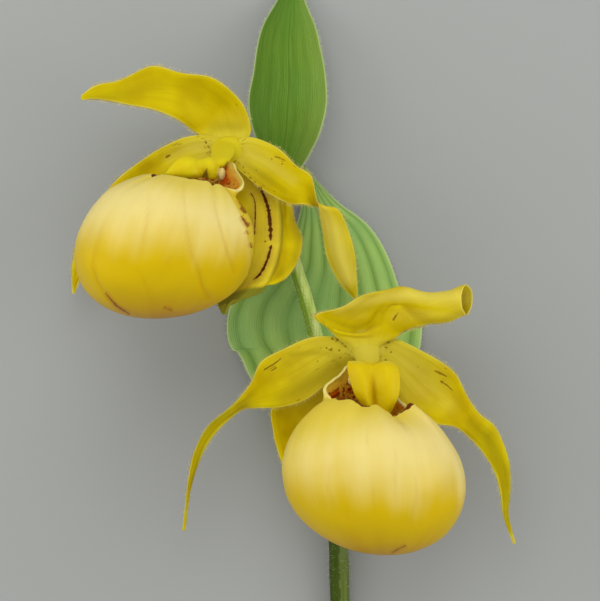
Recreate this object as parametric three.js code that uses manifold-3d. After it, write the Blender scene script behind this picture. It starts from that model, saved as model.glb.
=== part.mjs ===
// A cut flowering stem of a yellow lady's slipper orchid, lying on its back: a stem, two leaves, two blooms.
// Millimetres, +Z up from the surface it lies on, the stem along Y, the origin under the middle of the whole.
import * as THREE from "three";
import { mergeVertices } from "three/addons/utils/BufferGeometryUtils.js";
import Module from "manifold-3d";

const wasm = await Module();
wasm.setup();

// Driving dimensions
const petalThickness = 0.8;
const leafThickness = 0.9;
const pouchWall = 1.1;
const shieldThickness = 1.6;
const seatGap = 0.35; // what touches on the plant lies this far apart
const stemSides = 12;
const ovaryRibs = 6;
const ovaryRibDepth = 0.07;
const pouchRibs = 28;
const pouchRibDepth = 0.016; // a share of the pouch's radius
const leafPleats = 8;
const leafPleatHeight = 0.35;
const slopeStep = 0.01; // the share of a curve or surface over which its slope is measured

const colours = {
  stem: 0x4a6b1c,
  leaf: 0x6f9a4c,
  petal: 0xcdb91e,
  pouch: 0xe8cf62,
  column: 0xd9c212,
};

// ---------- routes and outlines, each a list of places from base to tip ----------

// Stem: x, y, z of its axis and its radius, from the cut end to the upper node.
const stemRoute = [
  [14.5, -112.3, 2.6, 2.75],
  [13.1, -65.4, 2.7, 2.7],
  [12.7, -51.2, 3.3, 2.7],
  [12, -38.7, 4.4, 2.68],
  [11.1, -28.9, 5.5, 2.65],
  [10.7, -22.8, 6, 2.6],
  [10.3, -17.3, 6.6, 2.4],
  [9.2, -9.5, 7.5, 2.25],
  [7.5, 4.4, 9.5, 2.05],
  [4.8, 18.1, 11.5, 1.9],
  [1.2, 29.1, 12.6, 1.85],
  [-2.1, 38.7, 13.6, 1.8],
  [-4.9, 46.7, 14.1, 1.85],
];

// Leaves: x, y, z of the midrib, half the width laid flat, and the curl of the section in degrees. A curl
// near 290 clasps the stem as a sheath; a negative one lets the edges droop.
const lowerLeafRoute = [
  [11.2, -29.1, 2.2, 8.6, 290],
  [10.8, -22.9, 2.6, 9.2, 262],
  [10.3, -17.4, 3, 11.7, 200],
  [10, -11.8, 3.6, 16.1, 125],
  [9.8, -6.3, 4.2, 20, 60],
  [9.8, -0.7, 4.8, 23, 5],
  [9.8, 5.4, 5.3, 26.3, -35],
  [9.2, 12, 5.5, 28.5, -50],
  [10, 18.7, 5.3, 24.1, -52],
  [10.9, 26.4, 4.8, 17.7, -50],
  [9.8, 34.8, 4, 13, -45],
  [7.3, 43.1, 2.8, 6.1, -30],
  [4.8, 50.1, 1.6, 2.5, -15],
  [3.1, 55.4, 0.9, 0.5, -2],
];
const upperLeafRoute = [
  [-3.4, 42.4, 11.2, 6.5, 285],
  [-4.4, 45.5, 11.4, 6.6, 240],
  [-4.3, 50, 11.4, 6.3, 130],
  [-3.4, 55.2, 12, 6.3, 85],
  [-2.4, 60.5, 12.4, 8.2, 75],
  [-1.8, 65.4, 12.4, 10.2, 65],
  [-1.4, 72.1, 11.6, 11.1, 45],
  [-1, 79.3, 10.2, 10.3, 38],
  [-1.1, 87.2, 8.2, 9, 32],
  [-0.9, 93.4, 5.9, 7.5, 28],
  [-0.5, 99.1, 3.5, 4.9, 20],
  [0.1, 105.4, 1.4, 2.1, 10],
  [0.2, 111.1, 0.3, 0.5, 2],
];

// Each bloom: the route of its ovary and of its column's neck with their radii, then each petal and sepal as
// rows of places across it, from one edge over the midrib to the other. The pouch is an ellipsoid, turned by
// its tilt about Z and bulged a little on three sides, which opens along its mouth's axis and faces its front.
const lowerBloom = {
  ovary: [
    [11.5, -18.6, 8.6, 1.5],
    [12.7, -14.9, 9.8, 1.7],
    [14.4, -9.9, 12, 2],
    [16.5, -4.9, 15.5, 2.3],
    [18.4, -1, 19, 2.6],
    [19.7, 2.1, 22.8, 2.8],
    [20.3, 4, 26, 2.9],
    [20.4, 4.6, 28, 2.5],
    [20.4, 4.6, 29.4, 1.3],
  ],
  neck: [
    [20.4, 4.5, 30.1, 2],
    [20.6, 3.6, 32.3, 2.4],
    [20.8, 1.7, 34, 3],
    [21.1, -0.1, 35, 2.8],
  ],
  shield: [
    [[24.3, 2.5, 33], [22.7, 2.5, 34], [20.8, 2.5, 34], [18.9, 2.5, 34], [17.6, 2.3, 33]],
    [[28.1, -0.4, 35], [25, -0.1, 37.5], [21.3, -0.1, 36], [18.1, -0.1, 37.5], [14.8, -0.1, 35]],
    [[28.8, -4.1, 36], [25.3, -4.3, 39.5], [21.6, -4.7, 37], [18.3, -4.3, 39.5], [14.9, -3.1, 36]],
    [[28.1, -8.7, 36.6], [25.3, -8.9, 39], [22.1, -8.9, 36.8], [19.1, -8.1, 39], [16.2, -6.8, 36.6]],
    [[26.6, -11.9, 36.5], [25, -12.4, 37.8], [22.6, -11.9, 36.8], [20.7, -10.8, 37.6], [18.3, -9.7, 36.6]],
  ],
  dorsalSepal: [
    [[17.7, 6.9, 27.5], [19.1, 7.4, 26.8], [20.4, 7.6, 26.5], [22, 7.4, 26.8], [23.7, 6.9, 27.5]],
    [[12.2, 8.4, 31.5], [16, 9.1, 30], [20.1, 9.5, 29], [23.6, 9.2, 29.5], [26.6, 7.9, 30]],
    [[6.2, 13.3, 32], [12, 11.4, 28], [19.1, 11.4, 27.5], [24.9, 11.9, 30.5], [29.5, 9.5, 31.5]],
    [[10.4, 15.7, 30], [14.7, 14.6, 26.5], [20.9, 14.3, 27.5], [26.5, 14.4, 32], [31.3, 10.3, 33]],
    [[19.8, 19.8, 29.5], [23.1, 18.4, 28.5], [26.3, 17.1, 31.5], [29.4, 15.2, 34.5], [33.7, 11, 34.5]],
    [[29.5, 20.3, 31], [30, 21.6, 34], [31.8, 18.9, 36], [32.8, 15.7, 37.5], [36.3, 11.6, 36.5]],
    [[38.6, 14.9, 32.5], [39.7, 18.7, 32.5], [37.9, 20.3, 36.5], [37, 17.3, 40], [38.9, 11.8, 38.5]],
    [[43, 13.3, 36.5], [44.2, 17.3, 34.5], [42.7, 20.7, 38], [40.9, 17.6, 41.8], [42.1, 12.5, 39.5]],
    [[46.9, 14.3, 39.9], [48.4, 18.6, 36.9], [46.6, 22.3, 40.5], [44.8, 18.6, 44.1], [46.3, 14.3, 41.1]],
  ],
  synsepal: [
    [[22, 0.7, 27.2], [20.1, 0.6, 26.8], [18.2, 0.7, 27.2]],
    [[20, -6.4, 22.5], [14.5, -5.3, 21], [8.8, -3.6, 22]],
    [[15.7, -16.8, 19], [6.4, -14.7, 16], [-4.6, -9.7, 19.5]],
    [[14.6, -26.2, 17], [4.5, -23.6, 13.2], [-5.5, -17.4, 18.5]],
    [[16.2, -36.1, 16], [6.9, -33.5, 12.7], [-2.4, -27.3, 17.5]],
    [[17.9, -42.7, 15], [11.9, -40.1, 13], [4.2, -36.1, 16]],
    [[16.8, -47.7, 14.2], [16, -48, 14], [15.2, -48, 14.2]],
  ],
  leftPetal: [
    [[17.2, 1.6, 29], [17.1, 4.1, 28.3], [17.2, 6.6, 29]],
    [[13.6, 0.3, 30.5], [13.1, 4.3, 28.5], [12.3, 7.9, 29]],
    [[8.7, -5.1, 31], [7.1, 1.4, 29], [5.5, 8.1, 30]],
    [[3.4, -8.9, 30], [1.2, -2.1, 28.5], [-1.8, 5.2, 31]],
    [[-3.4, -10.9, 28], [-5.6, -5.7, 28], [-8.5, 1.7, 31]],
    [[-9.9, -11.1, 26], [-10.7, -8.1, 27.5], [-11.2, -4.5, 30]],
    [[-14.3, -11.9, 25], [-14.8, -10.5, 26.5], [-15.2, -9.6, 28]],
    [[-20.6, -17.5, 23], [-21.8, -16.4, 23.5], [-23, -15.7, 24.5]],
    [[-24.4, -23.6, 20.5], [-25.7, -22.7, 20.8], [-26.5, -22.4, 21.5]],
    [[-27.3, -31.4, 17.5], [-27.9, -31.1, 17.7], [-28.6, -30.8, 18]],
    [[-28.7, -38.9, 15], [-29.1, -38.9, 15], [-29.6, -38.8, 15]],
    [[-29.4, -45.1, 13], [-29.9, -45.2, 13], [-30.4, -45.1, 13]],
  ],
  rightPetal: [
    [[23.6, 6.6, 29], [23.7, 4.1, 28.3], [23.6, 1.6, 29]],
    [[27.9, 6.8, 30], [27.1, 4.1, 28.8], [25.2, 0.6, 30]],
    [[34.6, 4.5, 31.5], [32.5, 0.3, 29.5], [29, -5.1, 30.3]],
    [[40.5, 1.2, 32], [37.4, -4.8, 29.5], [33, -11, 29.8]],
    [[44.3, -2.1, 31.5], [42, -8.3, 29.3], [38.5, -15.3, 29.3]],
    [[47.4, -8.3, 30], [46.3, -12.4, 28.5], [43.9, -16.2, 28.5]],
    [[50.7, -12.7, 28], [49.9, -17.1, 27], [48.1, -19.4, 26.5]],
    [[55.2, -16.6, 25.5], [53.8, -20.7, 24.8], [52, -23.8, 24.5]],
    [[58.6, -24.6, 22.5], [57, -27.3, 22], [55.1, -29.2, 22]],
    [[59.5, -32.4, 19.5], [58.2, -33.7, 19.5], [56.6, -34.8, 19.5]],
    [[59.1, -40.4, 16.5], [58.5, -41, 16.3], [57.7, -41, 16.5]],
    [[61.2, -48.6, 13.5], [60.9, -48.9, 13.5], [60.5, -48.9, 13.5]],
  ],
  pouch: {
    centre: [21.8, -28.9, 38],
    radii: [24.6, 20.6, 21],
    tilt: -19.6,
    bulge: { share: 0.016, heading: 101 },
    mouthAxis: [0, 1, 0],
    front: [0, 0, 1],
    claw: [20.4, 1.7, 29.5],
    leftEar: { height: 4.4, flare: 3.4 },
    rightEar: { height: 2.6, flare: -0.8 },
  },
};

const upperBloom = {
  ovary: [
    [-5.2, 47.5, 14.3, 1.8],
    [-6.8, 50.5, 15.5, 1.9],
    [-9.5, 53.7, 18.2, 2.2],
    [-12.5, 56.3, 20, 2.6],
    [-14.9, 58, 22.2, 2.8],
    [-15.9, 58.6, 24.2, 2.8],
    [-16.4, 58.8, 25.6, 2.3],
    [-16.7, 58.9, 26.6, 1.2],
  ],
  neck: [
    [-16.9, 58.7, 27.6, 2],
    [-18.5, 58.6, 30, 2.4],
    [-20.6, 58, 32, 2.9],
    [-22.7, 56.9, 34, 2.7],
  ],
  shield: [
    [[-18.5, 58, 31.5], [-19.8, 58.5, 32.5], [-21.1, 58.8, 33], [-22.5, 58.5, 33.2], [-23.6, 57.7, 32.5]],
    [[-19.8, 55, 33.5], [-22.1, 56.5, 36], [-24.6, 56, 36], [-27.2, 56.7, 38.5], [-29.6, 56.2, 38]],
    [[-21.4, 52.5, 35], [-23.4, 53.7, 38], [-25.6, 53.5, 37.5], [-28.4, 54.5, 40.5], [-32.2, 53.9, 40.5]],
    [[-23.5, 50.3, 36], [-24.8, 50.8, 38.5], [-26.4, 50.8, 38], [-29.2, 51.5, 40.5], [-33, 51.8, 41]],
  ],
  dorsalSepal: [
    [[-18.7, 60.9, 23.6], [-16.6, 61.6, 23], [-14.2, 62, 23.6]],
    [[-23.8, 61.9, 23.6], [-17.6, 65.2, 23.2], [-11.3, 65.1, 25.5]],
    [[-27, 64, 25.6], [-20.5, 70.2, 25], [-13.2, 71.4, 28]],
    [[-31.5, 67, 30], [-26.1, 73.6, 28], [-19.6, 76.8, 30.5]],
    [[-37.3, 69.2, 33.5], [-33.1, 75.3, 31], [-28.2, 79.6, 32]],
    [[-43.6, 70.3, 36], [-40.2, 75.1, 34], [-37.8, 81.1, 34]],
    [[-49.4, 71.8, 38.5], [-47.6, 74.7, 37], [-46.8, 77.4, 36.5]],
    [[-56.2, 71.7, 40.5], [-56.5, 72.1, 40.5], [-56.6, 72.6, 40.5]],
  ],
  synsepal: [
    [[-10.5, 57.1, 24], [-12.4, 55.8, 24.3], [-14.3, 54.2, 24]],
    [[-5.1, 50.8, 21.5], [-8.3, 50.2, 24], [-11.9, 49.7, 22.5]],
    [[-1, 43.3, 18.5], [-4.3, 43.5, 22], [-11.6, 44.8, 21.5]],
    [[2.4, 35.6, 18], [-4, 35.5, 23], [-12.2, 36.1, 21]],
    [[0.9, 28.2, 21], [-5.6, 28.4, 25.5], [-13.5, 29.5, 24]],
    [[-4.2, 22.5, 25.2], [-9.4, 23.3, 27.8], [-16.4, 24.4, 26.2]],
    [[-8.3, 21.4, 27.5], [-12.6, 20, 29], [-19.3, 19.6, 28]],
    [[-18.1, 13.4, 31], [-18.7, 13.2, 31], [-19.3, 13.4, 31]],
  ],
  leftPetal: [
    [[-19.6, 57, 25.4], [-19.8, 58.7, 25], [-19.6, 60.7, 25.4]],
    [[-24.3, 55.2, 27], [-24.6, 58.8, 26], [-25.9, 62.6, 27]],
    [[-29.4, 52, 26], [-30.6, 56.9, 25], [-33, 60.6, 26]],
    [[-35.3, 46.7, 22.5], [-38, 52.7, 22], [-41.2, 56.1, 23]],
    [[-43.1, 40, 17.5], [-46.1, 45.8, 17.5], [-49.1, 49.8, 19]],
    [[-49.6, 33.2, 14], [-52.3, 37.9, 14], [-55, 41.7, 15]],
    [[-54.3, 27.5, 12.5], [-56.8, 31.3, 12.5], [-59.3, 33.5, 13]],
    [[-58.5, 23.6, 12], [-59.3, 25.8, 12], [-60.7, 27.5, 12.3]],
    [[-59.8, 20.1, 12], [-60.2, 19.8, 12], [-60.7, 19.9, 12]],
  ],
  rightPetal: [
    [[-13, 60.9, 26.2], [-12.9, 58.8, 25.6], [-13, 56.8, 26.2]],
    [[-9.6, 61.5, 29], [-9.6, 57.9, 27.5], [-9.9, 53, 28.5]],
    [[-4.2, 58.9, 31], [-5, 54.3, 29.3], [-6.1, 48, 29.5]],
    [[0.9, 54.4, 31.5], [-0.4, 49.7, 30], [-1.5, 44.3, 30]],
    [[5, 51.6, 31], [3.9, 47.6, 30], [2.8, 43.9, 30.5]],
    [[6.6, 45.1, 31.5], [6.6, 44.3, 29.5], [6.6, 43.6, 27.5]],
    [[7.4, 40.9, 26.5], [9.9, 42, 27.5], [12.3, 42.6, 27]],
    [[8.2, 37.2, 24], [11.5, 37.1, 25], [15, 37.2, 23.5]],
    [[9.4, 30.1, 20], [12.9, 30.1, 21], [17.1, 30.1, 19.5]],
    [[12.9, 22.8, 17], [15.4, 23.3, 17.6], [17.6, 24.2, 17]],
    [[16.8, 18.4, 15.3], [17.3, 18.4, 15.3], [17.8, 18.5, 15.3]],
  ],
  pouch: {
    centre: [-34.4, 32.6, 42],
    radii: [23.5, 19.5, 22],
    tilt: 7,
    bulge: { share: 0.034, heading: 91 },
    mouthAxis: [0.18, 0.98, 0],
    front: [-0.67, 0, 0.74],
    claw: [-17.3, 56.2, 26.8],
    leftEar: { height: 3, flare: 0.5 },
    rightEar: { height: 3.4, flare: 4.6 },
  },
};

// ---------- curves and surfaces ----------

// A smooth curve (Catmull-Rom) through rows of numbers, at t from 0 on the first row to 1 on the last.
function along(rows, t) {
  const last = rows.length - 1;
  const place = THREE.MathUtils.clamp(t, 0, 1) * last;
  const i = Math.min(Math.floor(place), last - 1);
  const f = place - i;
  const b = rows[i];
  const c = rows[i + 1];
  const a = rows[i - 1] ?? b.map((value, k) => 2 * value - c[k]);
  const d = rows[i + 2] ?? c.map((value, k) => 2 * value - b[k]);
  return b.map((value, k) => {
    const slope = (c[k] - a[k]) * f;
    const bend = (2 * a[k] - 5 * value + 4 * c[k] - d[k]) * f * f;
    const twist = (3 * value - a[k] - 3 * c[k] + d[k]) * f * f * f;
    return value + (slope + bend + twist) / 2;
  });
}

const vector = (numbers) => new THREE.Vector3(...numbers.slice(0, 3));

function directionOf(route, t) {
  return vector(along(route, t + slopeStep)).sub(vector(along(route, t - slopeStep))).normalize();
}

// The middle surface of a petal or sepal: u runs from base to tip, v from one edge to the other.
function petalSurface(rows) {
  const flat = rows.map((row) => row.flat());
  const across = rows[0].map((_, k) => k);
  return (u, v) => {
    const row = along(flat, u);
    return vector(along(across.map((k) => row.slice(3 * k, 3 * k + 3)), v));
  };
}

// The middle surface of a leaf: an arc across its midrib, with pleats that fade towards base and tip.
function leafSurface(route) {
  return (u, v) => {
    const [x, y, z, halfWidth, curlDegrees] = along(route, u);
    const forward = directionOf(route, u);
    const side = new THREE.Vector3().crossVectors(forward, new THREE.Vector3(0, 0, 1)).normalize();
    const up = new THREE.Vector3().crossVectors(side, forward);
    const curl = THREE.MathUtils.degToRad(curlDegrees);
    const radius = (2 * halfWidth) / curl;
    const angle = (v - 0.5) * curl;
    const fade = Math.sin(Math.PI * u) ** 2;
    const pleat = leafPleatHeight * fade * Math.cos(2 * Math.PI * leafPleats * (v - 0.5));
    return new THREE.Vector3(x, y, z)
      .addScaledVector(side, radius * Math.sin(angle))
      .addScaledVector(up, radius * (1 - Math.cos(angle)) + pleat);
  };
}

function normalOf(surface, u, v) {
  const inside = (value) => THREE.MathUtils.clamp(value, 0, 1);
  const acrossIt = surface(u, inside(v + slopeStep)).sub(surface(u, inside(v - slopeStep)));
  const alongIt = surface(inside(u + slopeStep), v).sub(surface(inside(u - slopeStep), v));
  return acrossIt.cross(alongIt).normalize();
}

// One closed body from a list of corners and triangles: shared corners merged, collapsed triangles dropped
// and the faces turned outwards.
function closedBody(corners, triangles) {
  const loose = new THREE.BufferGeometry();
  loose.setAttribute("position", new THREE.Float32BufferAttribute(corners.flatMap((p) => p.toArray()), 3));
  loose.setIndex(triangles);
  const merged = mergeVertices(loose, 1e-3);
  const index = [...merged.index.array];
  const kept = [];
  for (let i = 0; i < index.length; i += 3) {
    const [a, b, c] = index.slice(i, i + 3);
    if (a !== b && b !== c && c !== a) kept.push(a, b, c);
  }
  merged.setIndex(kept);
  return enclosedVolume(merged) < 0 ? turnedInsideOut(merged) : merged;
}

function enclosedVolume(geometry) {
  const place = geometry.attributes.position;
  const corner = [0, 1, 2].map(() => new THREE.Vector3());
  let six = 0;
  for (let i = 0; i < geometry.index.count; i += 3) {
    corner.forEach((point, k) => point.fromBufferAttribute(place, geometry.index.getX(i + k)));
    six += corner[0].dot(corner[1].clone().cross(corner[2]));
  }
  return six / 6;
}

function turnedInsideOut(geometry) {
  const index = [...geometry.index.array];
  for (let i = 0; i < index.length; i += 3) [index[i + 1], index[i + 2]] = [index[i + 2], index[i + 1]];
  geometry.setIndex(index);
  return geometry;
}

// A blade of even thickness on a middle surface: the same grid of triangles on both faces, and a rim.
function blade(surface, { across, lengthwise, thickness }) {
  const grid = new THREE.PlaneGeometry(1, 1, across, lengthwise);
  const spot = grid.attributes.position;
  const upper = [];
  const lower = [];
  for (let i = 0; i < spot.count; i += 1) {
    const v = spot.getX(i) + 0.5;
    const u = spot.getY(i) + 0.5;
    const middle = surface(u, v);
    const normal = normalOf(surface, u, v);
    upper.push(middle.clone().addScaledVector(normal, thickness / 2));
    lower.push(middle.clone().addScaledVector(normal, -thickness / 2));
  }
  const face = [...grid.index.array];
  const triangles = [...face];
  for (let i = 0; i < face.length; i += 3) {
    triangles.push(face[i] + spot.count, face[i + 2] + spot.count, face[i + 1] + spot.count);
  }
  const edge = gridEdge(across, lengthwise);
  edge.forEach((a, i) => {
    const b = edge[(i + 1) % edge.length];
    triangles.push(b, a, a + spot.count, b, a + spot.count, b + spot.count);
  });
  return closedBody([...upper, ...lower], triangles);
}

// The corners round a PlaneGeometry, anticlockwise as its front shows them.
function gridEdge(across, lengthwise) {
  const corner = (column, row) => row * (across + 1) + column;
  const edge = [];
  for (let column = 0; column < across; column += 1) edge.push(corner(column, lengthwise));
  for (let row = lengthwise; row > 0; row -= 1) edge.push(corner(across, row));
  for (let column = across; column > 0; column -= 1) edge.push(corner(column, 0));
  for (let row = 0; row < lengthwise; row += 1) edge.push(corner(0, row));
  return edge;
}

// A round, tapering stalk along a route of x, y, z and radius. The side vector sets where its facets start.
function stalk(route, { sides, lengthwise, side, ribs = 0, ribDepth = 0 }) {
  const cylinder = new THREE.CylinderGeometry(1, 1, 1, sides, lengthwise);
  const spot = cylinder.attributes.position;
  const corners = [];
  for (let i = 0; i < spot.count; i += 1) {
    const u = spot.getY(i) + 0.5;
    const [x, y, z, radius] = along(route, u);
    const forward = directionOf(route, u);
    const first = side.clone().addScaledVector(forward, -side.dot(forward)).normalize();
    const second = new THREE.Vector3().crossVectors(first, forward);
    const angle = Math.atan2(spot.getZ(i), spot.getX(i)) + Math.PI / sides;
    const ribbed = radius * (1 + ribDepth * Math.cos(ribs * angle));
    const reach = Math.hypot(spot.getX(i), spot.getZ(i)) * ribbed;
    corners.push(
      new THREE.Vector3(x, y, z)
        .addScaledVector(first, reach * Math.cos(angle))
        .addScaledVector(second, reach * Math.sin(angle)),
    );
  }
  return closedBody(corners, [...cylinder.index.array]);
}

// ---------- the pouch ----------

const mouthAngle = THREE.MathUtils.degToRad(35); // from the mouth's axis to its edge
const poleShift = 0.25; // how far mouth and pole lean to the back
const edgeShare = 0.86; // where on the way from pole to margin the mouth's edge lies
const marginRoll = 1.9; // how far the front margin rolls into the mouth
const marginLift = 0.9; // how far it would rise in rolling
const marginDrop = 2.2; // and how far it turns down
const clawStart = THREE.MathUtils.degToRad(63); // how far from the front the margin starts to rise
const clawHalfWidth = 2.2;
const earTurn = THREE.MathUtils.degToRad(105); // how far from the front an ear stands
const earSpread = THREE.MathUtils.degToRad(26);
const upwards = new THREE.Vector3(0, 0, 1);

// The middle surface of the pouch wall: turn goes round the mouth's axis from the front, s from the pole
// (0) to the mouth's edge and on over its margin (1). The margin rolls inwards at the front, stands out as an
// ear on each side and rises behind into the claw that joins the bloom's centre.
function pouchSurface({ centre, radii, tilt, bulge, mouthAxis, front, claw, leftEar, rightEar }) {
  const axis = vector(mouthAxis).normalize();
  const ahead = vector(front).addScaledVector(axis, -axis.dot(vector(front))).normalize();
  const right = new THREE.Vector3().crossVectors(axis, ahead);
  const middle = vector(centre);
  const size = vector(radii);
  const tiltAngle = THREE.MathUtils.degToRad(tilt);
  const bulgeHeading = THREE.MathUtils.degToRad(bulge.heading);
  const outward = (turn) =>
    ahead.clone().multiplyScalar(Math.cos(turn)).addScaledVector(right, Math.sin(turn));
  const body = (turn, angle) => {
    const way = axis.clone().multiplyScalar(Math.cos(angle)).addScaledVector(outward(turn), Math.sin(angle));
    way.addScaledVector(ahead, -poleShift).normalize().applyAxisAngle(upwards, -tiltAngle);
    const valley = 0.5 + 0.5 * Math.cos(pouchRibs * turn);
    const ribbed = 1 - pouchRibDepth * valley * Math.sin(angle) ** 2;
    const heading = Math.atan2(way.y, way.x);
    const flank = way.x ** 2 + way.y ** 2;
    const bulged = 1 + bulge.share * flank * Math.cos(3 * (heading - bulgeHeading));
    return way.multiply(size).multiplyScalar(ribbed * bulged).applyAxisAngle(upwards, tiltAngle).add(middle);
  };
  return (turn, s) => {
    const angle = THREE.MathUtils.mapLinear(Math.min(s, edgeShare), 0, edgeShare, Math.PI, mouthAngle);
    const place = body(turn, angle);
    if (s <= edgeShare) return place;
    const over = (s - edgeShare) / (1 - edgeShare);
    const signedTurn = THREE.MathUtils.euclideanModulo(turn + Math.PI, 2 * Math.PI) - Math.PI;
    const fromFront = Math.abs(signedTurn);
    const rise = THREE.MathUtils.smoothstep(fromFront, clawStart, Math.PI);
    const ear = signedTurn < 0 ? leftEar : rightEar;
    const earShare = over * Math.exp(-(((fromFront - earTurn) / earSpread) ** 2));
    const clawEdge = vector(claw).addScaledVector(right, Math.sin(turn) * clawHalfWidth);
    const margin = outward(turn).multiplyScalar(-marginRoll * over * (1 - rise) + ear.flare * earShare);
    const height = (marginLift * over - marginDrop * over ** 2) * (1 - rise) + ear.height * earShare;
    const towardsClaw = clawEdge.sub(place).multiplyScalar(over * rise);
    return place.clone().add(margin).addScaledVector(axis, height).add(towardsClaw);
  };
}

// The pouch as a shell: a lathe gives its rings, outer wall first, and each ring is put on its surface.
function pouchShell(shape, { around, rings }) {
  const surface = pouchSurface(shape);
  const walls = 2 * rings + 1;
  const profile = [];
  for (let ring = 0; ring <= walls; ring += 1) {
    profile.push(new THREE.Vector2(ring === 0 || ring === walls ? 0 : 1, ring));
  }
  const lathe = new THREE.LatheGeometry(profile, around);
  const spot = lathe.attributes.position;
  const corners = [];
  for (let i = 0; i < spot.count; i += 1) {
    const ring = Math.round(spot.getY(i));
    const turn = Math.atan2(spot.getX(i), spot.getZ(i));
    const outside = ring <= rings;
    const s = (outside ? ring : walls - ring) / rings;
    const near = Math.max(s, slopeStep);
    const place = surface(turn, s);
    const round = surface(turn + slopeStep, near).sub(surface(turn - slopeStep, near));
    const upward = surface(turn, Math.min(near + slopeStep, 1)).sub(surface(turn, near - slopeStep));
    const atPole = vector(shape.mouthAxis).normalize().negate();
    const normal = s === 0 ? atPole : round.cross(upward).normalize();
    corners.push(place.addScaledVector(normal, ((outside ? 1 : -1) * pouchWall) / 2));
  }
  return closedBody(corners, [...lathe.index.array]);
}

// ---------- joins and cuts ----------

function solid(geometry) {
  return new wasm.Manifold(
    new wasm.Mesh({
      numProp: 3,
      vertProperties: geometry.attributes.position.array,
      triVerts: new Uint32Array(geometry.index.array),
    }),
  );
}

function geometryOf(manifold) {
  const mesh = manifold.getMesh();
  const geometry = new THREE.BufferGeometry();
  geometry.setAttribute("position", new THREE.BufferAttribute(mesh.vertProperties, 3));
  geometry.setIndex(new THREE.BufferAttribute(mesh.triVerts, 1));
  return geometry;
}

// What lies on the surface is pressed flat there.
function restOnTable(geometry) {
  const place = geometry.attributes.position;
  for (let i = 0; i < place.count; i += 1) place.setZ(i, Math.max(place.getZ(i), 0));
  return geometry;
}

// ---------- the pieces ----------

const pouchGrid = { around: 2 * pouchRibs, rings: 12 };

const plant = new THREE.Group();

function addPiece(name, geometry, colour) {
  const material = new THREE.MeshStandardMaterial({ color: colour, roughness: 0.6, metalness: 0 });
  const mesh = new THREE.Mesh(geometry, material);
  mesh.name = name;
  plant.add(mesh);
}

function stemSolid(extraRadius) {
  const route = stemRoute.map(([x, y, z, radius]) => [x, y, z, radius + extraRadius]);
  return stalk(route, { sides: stemSides, lengthwise: 26, side: new THREE.Vector3(0, 0, 1) });
}

function addLeaf(name, route, size) {
  const leaf = blade(leafSurface(route), { ...size, thickness: leafThickness });
  addPiece(name, restOnTable(leaf), colours.leaf);
}

function addOvary(name, route) {
  const whole = stalk(route, {
    sides: 2 * ovaryRibs,
    lengthwise: 12,
    side: new THREE.Vector3(1, 0, 0),
    ribs: ovaryRibs,
    ribDepth: ovaryRibDepth,
  });
  addPiece(name, geometryOf(solid(whole).subtract(solid(stemSolid(seatGap)))), colours.leaf);
}

function addColumn(name, neckRoute, shieldRows) {
  const neck = stalk(neckRoute, { sides: 10, lengthwise: 4, side: new THREE.Vector3(1, 0, 0) });
  const size = { across: 8, lengthwise: 8, thickness: shieldThickness };
  const shield = blade(petalSurface(shieldRows), size);
  addPiece(name, geometryOf(solid(neck).add(solid(shield))), colours.column);
}

function addBloom(prefix, bloom) {
  const petal = (name, rows, across, lengthwise) => {
    const geometry = blade(petalSurface(rows), { across, lengthwise, thickness: petalThickness });
    addPiece(prefix + name, geometry, colours.petal);
  };
  addOvary(prefix + "ovary", bloom.ovary);
  petal("dorsal_sepal", bloom.dorsalSepal, 8, 20);
  petal("synsepal", bloom.synsepal, 6, 14);
  petal("petal_left", bloom.leftPetal, 6, 22);
  petal("petal_right", bloom.rightPetal, 6, 22);
  addPiece(prefix + "lip", pouchShell(bloom.pouch, pouchGrid), colours.pouch);
  addColumn(prefix + "column", bloom.neck, bloom.shield);
}

addPiece("stem", restOnTable(stemSolid(0)), colours.stem);
addLeaf("lower_leaf", lowerLeafRoute, { across: 16, lengthwise: 22 });
addLeaf("upper_leaf", upperLeafRoute, { across: 10, lengthwise: 24 });
addBloom("lower_", lowerBloom);
addBloom("upper_", upperBloom);

export default plant;
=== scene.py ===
import functools
import math
import random
import bmesh
import bpy
from mathutils import Matrix, Quaternion, Vector, noise


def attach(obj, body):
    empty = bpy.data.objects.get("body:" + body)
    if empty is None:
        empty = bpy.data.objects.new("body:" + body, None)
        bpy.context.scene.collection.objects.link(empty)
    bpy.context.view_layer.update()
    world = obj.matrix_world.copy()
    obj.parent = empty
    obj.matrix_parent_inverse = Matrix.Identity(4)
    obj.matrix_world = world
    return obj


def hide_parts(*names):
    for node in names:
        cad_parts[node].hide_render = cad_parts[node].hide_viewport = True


# A cut stem of a yellow slipper orchid with two blooms, lying on its back. The routes and rows below are in
# millimetres, as in the CAD; every mesh is in metres.
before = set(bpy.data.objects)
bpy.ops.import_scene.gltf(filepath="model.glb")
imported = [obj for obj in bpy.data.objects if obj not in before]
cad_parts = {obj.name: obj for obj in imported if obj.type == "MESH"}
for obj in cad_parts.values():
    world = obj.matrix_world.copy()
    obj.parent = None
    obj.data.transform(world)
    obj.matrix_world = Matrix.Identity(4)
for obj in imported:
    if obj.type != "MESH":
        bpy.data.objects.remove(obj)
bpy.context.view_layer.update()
mm = 0.001
scene = bpy.context.scene
print("frame loaded:", len(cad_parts), "nodes")

# camera, light and floor
studio = {
    "cameraPlace": (0.002, 0.018, 1.0),
    "widthSeen": 0.162,  # metres of the image's width, at the height of the blooms
    "seenAt": 0.03,
    "sky": "#FFFFFF",
    "floor": "#969895",
    "floorRoughness": 0.9,
    "floorSize": 3.0,
    "worldStrength": 0.78,
    "keyPlace": (-0.1, 0.5, 0.74),
    "keyWatts": 2.3,
    "keySize": 0.7,
    "sidePlaces": ((-0.62, 0.1, 0.3), (0.62, 0.05, 0.34)),
    "sideWatts": 1.5,
    "sideSize": 0.5,
}


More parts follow.
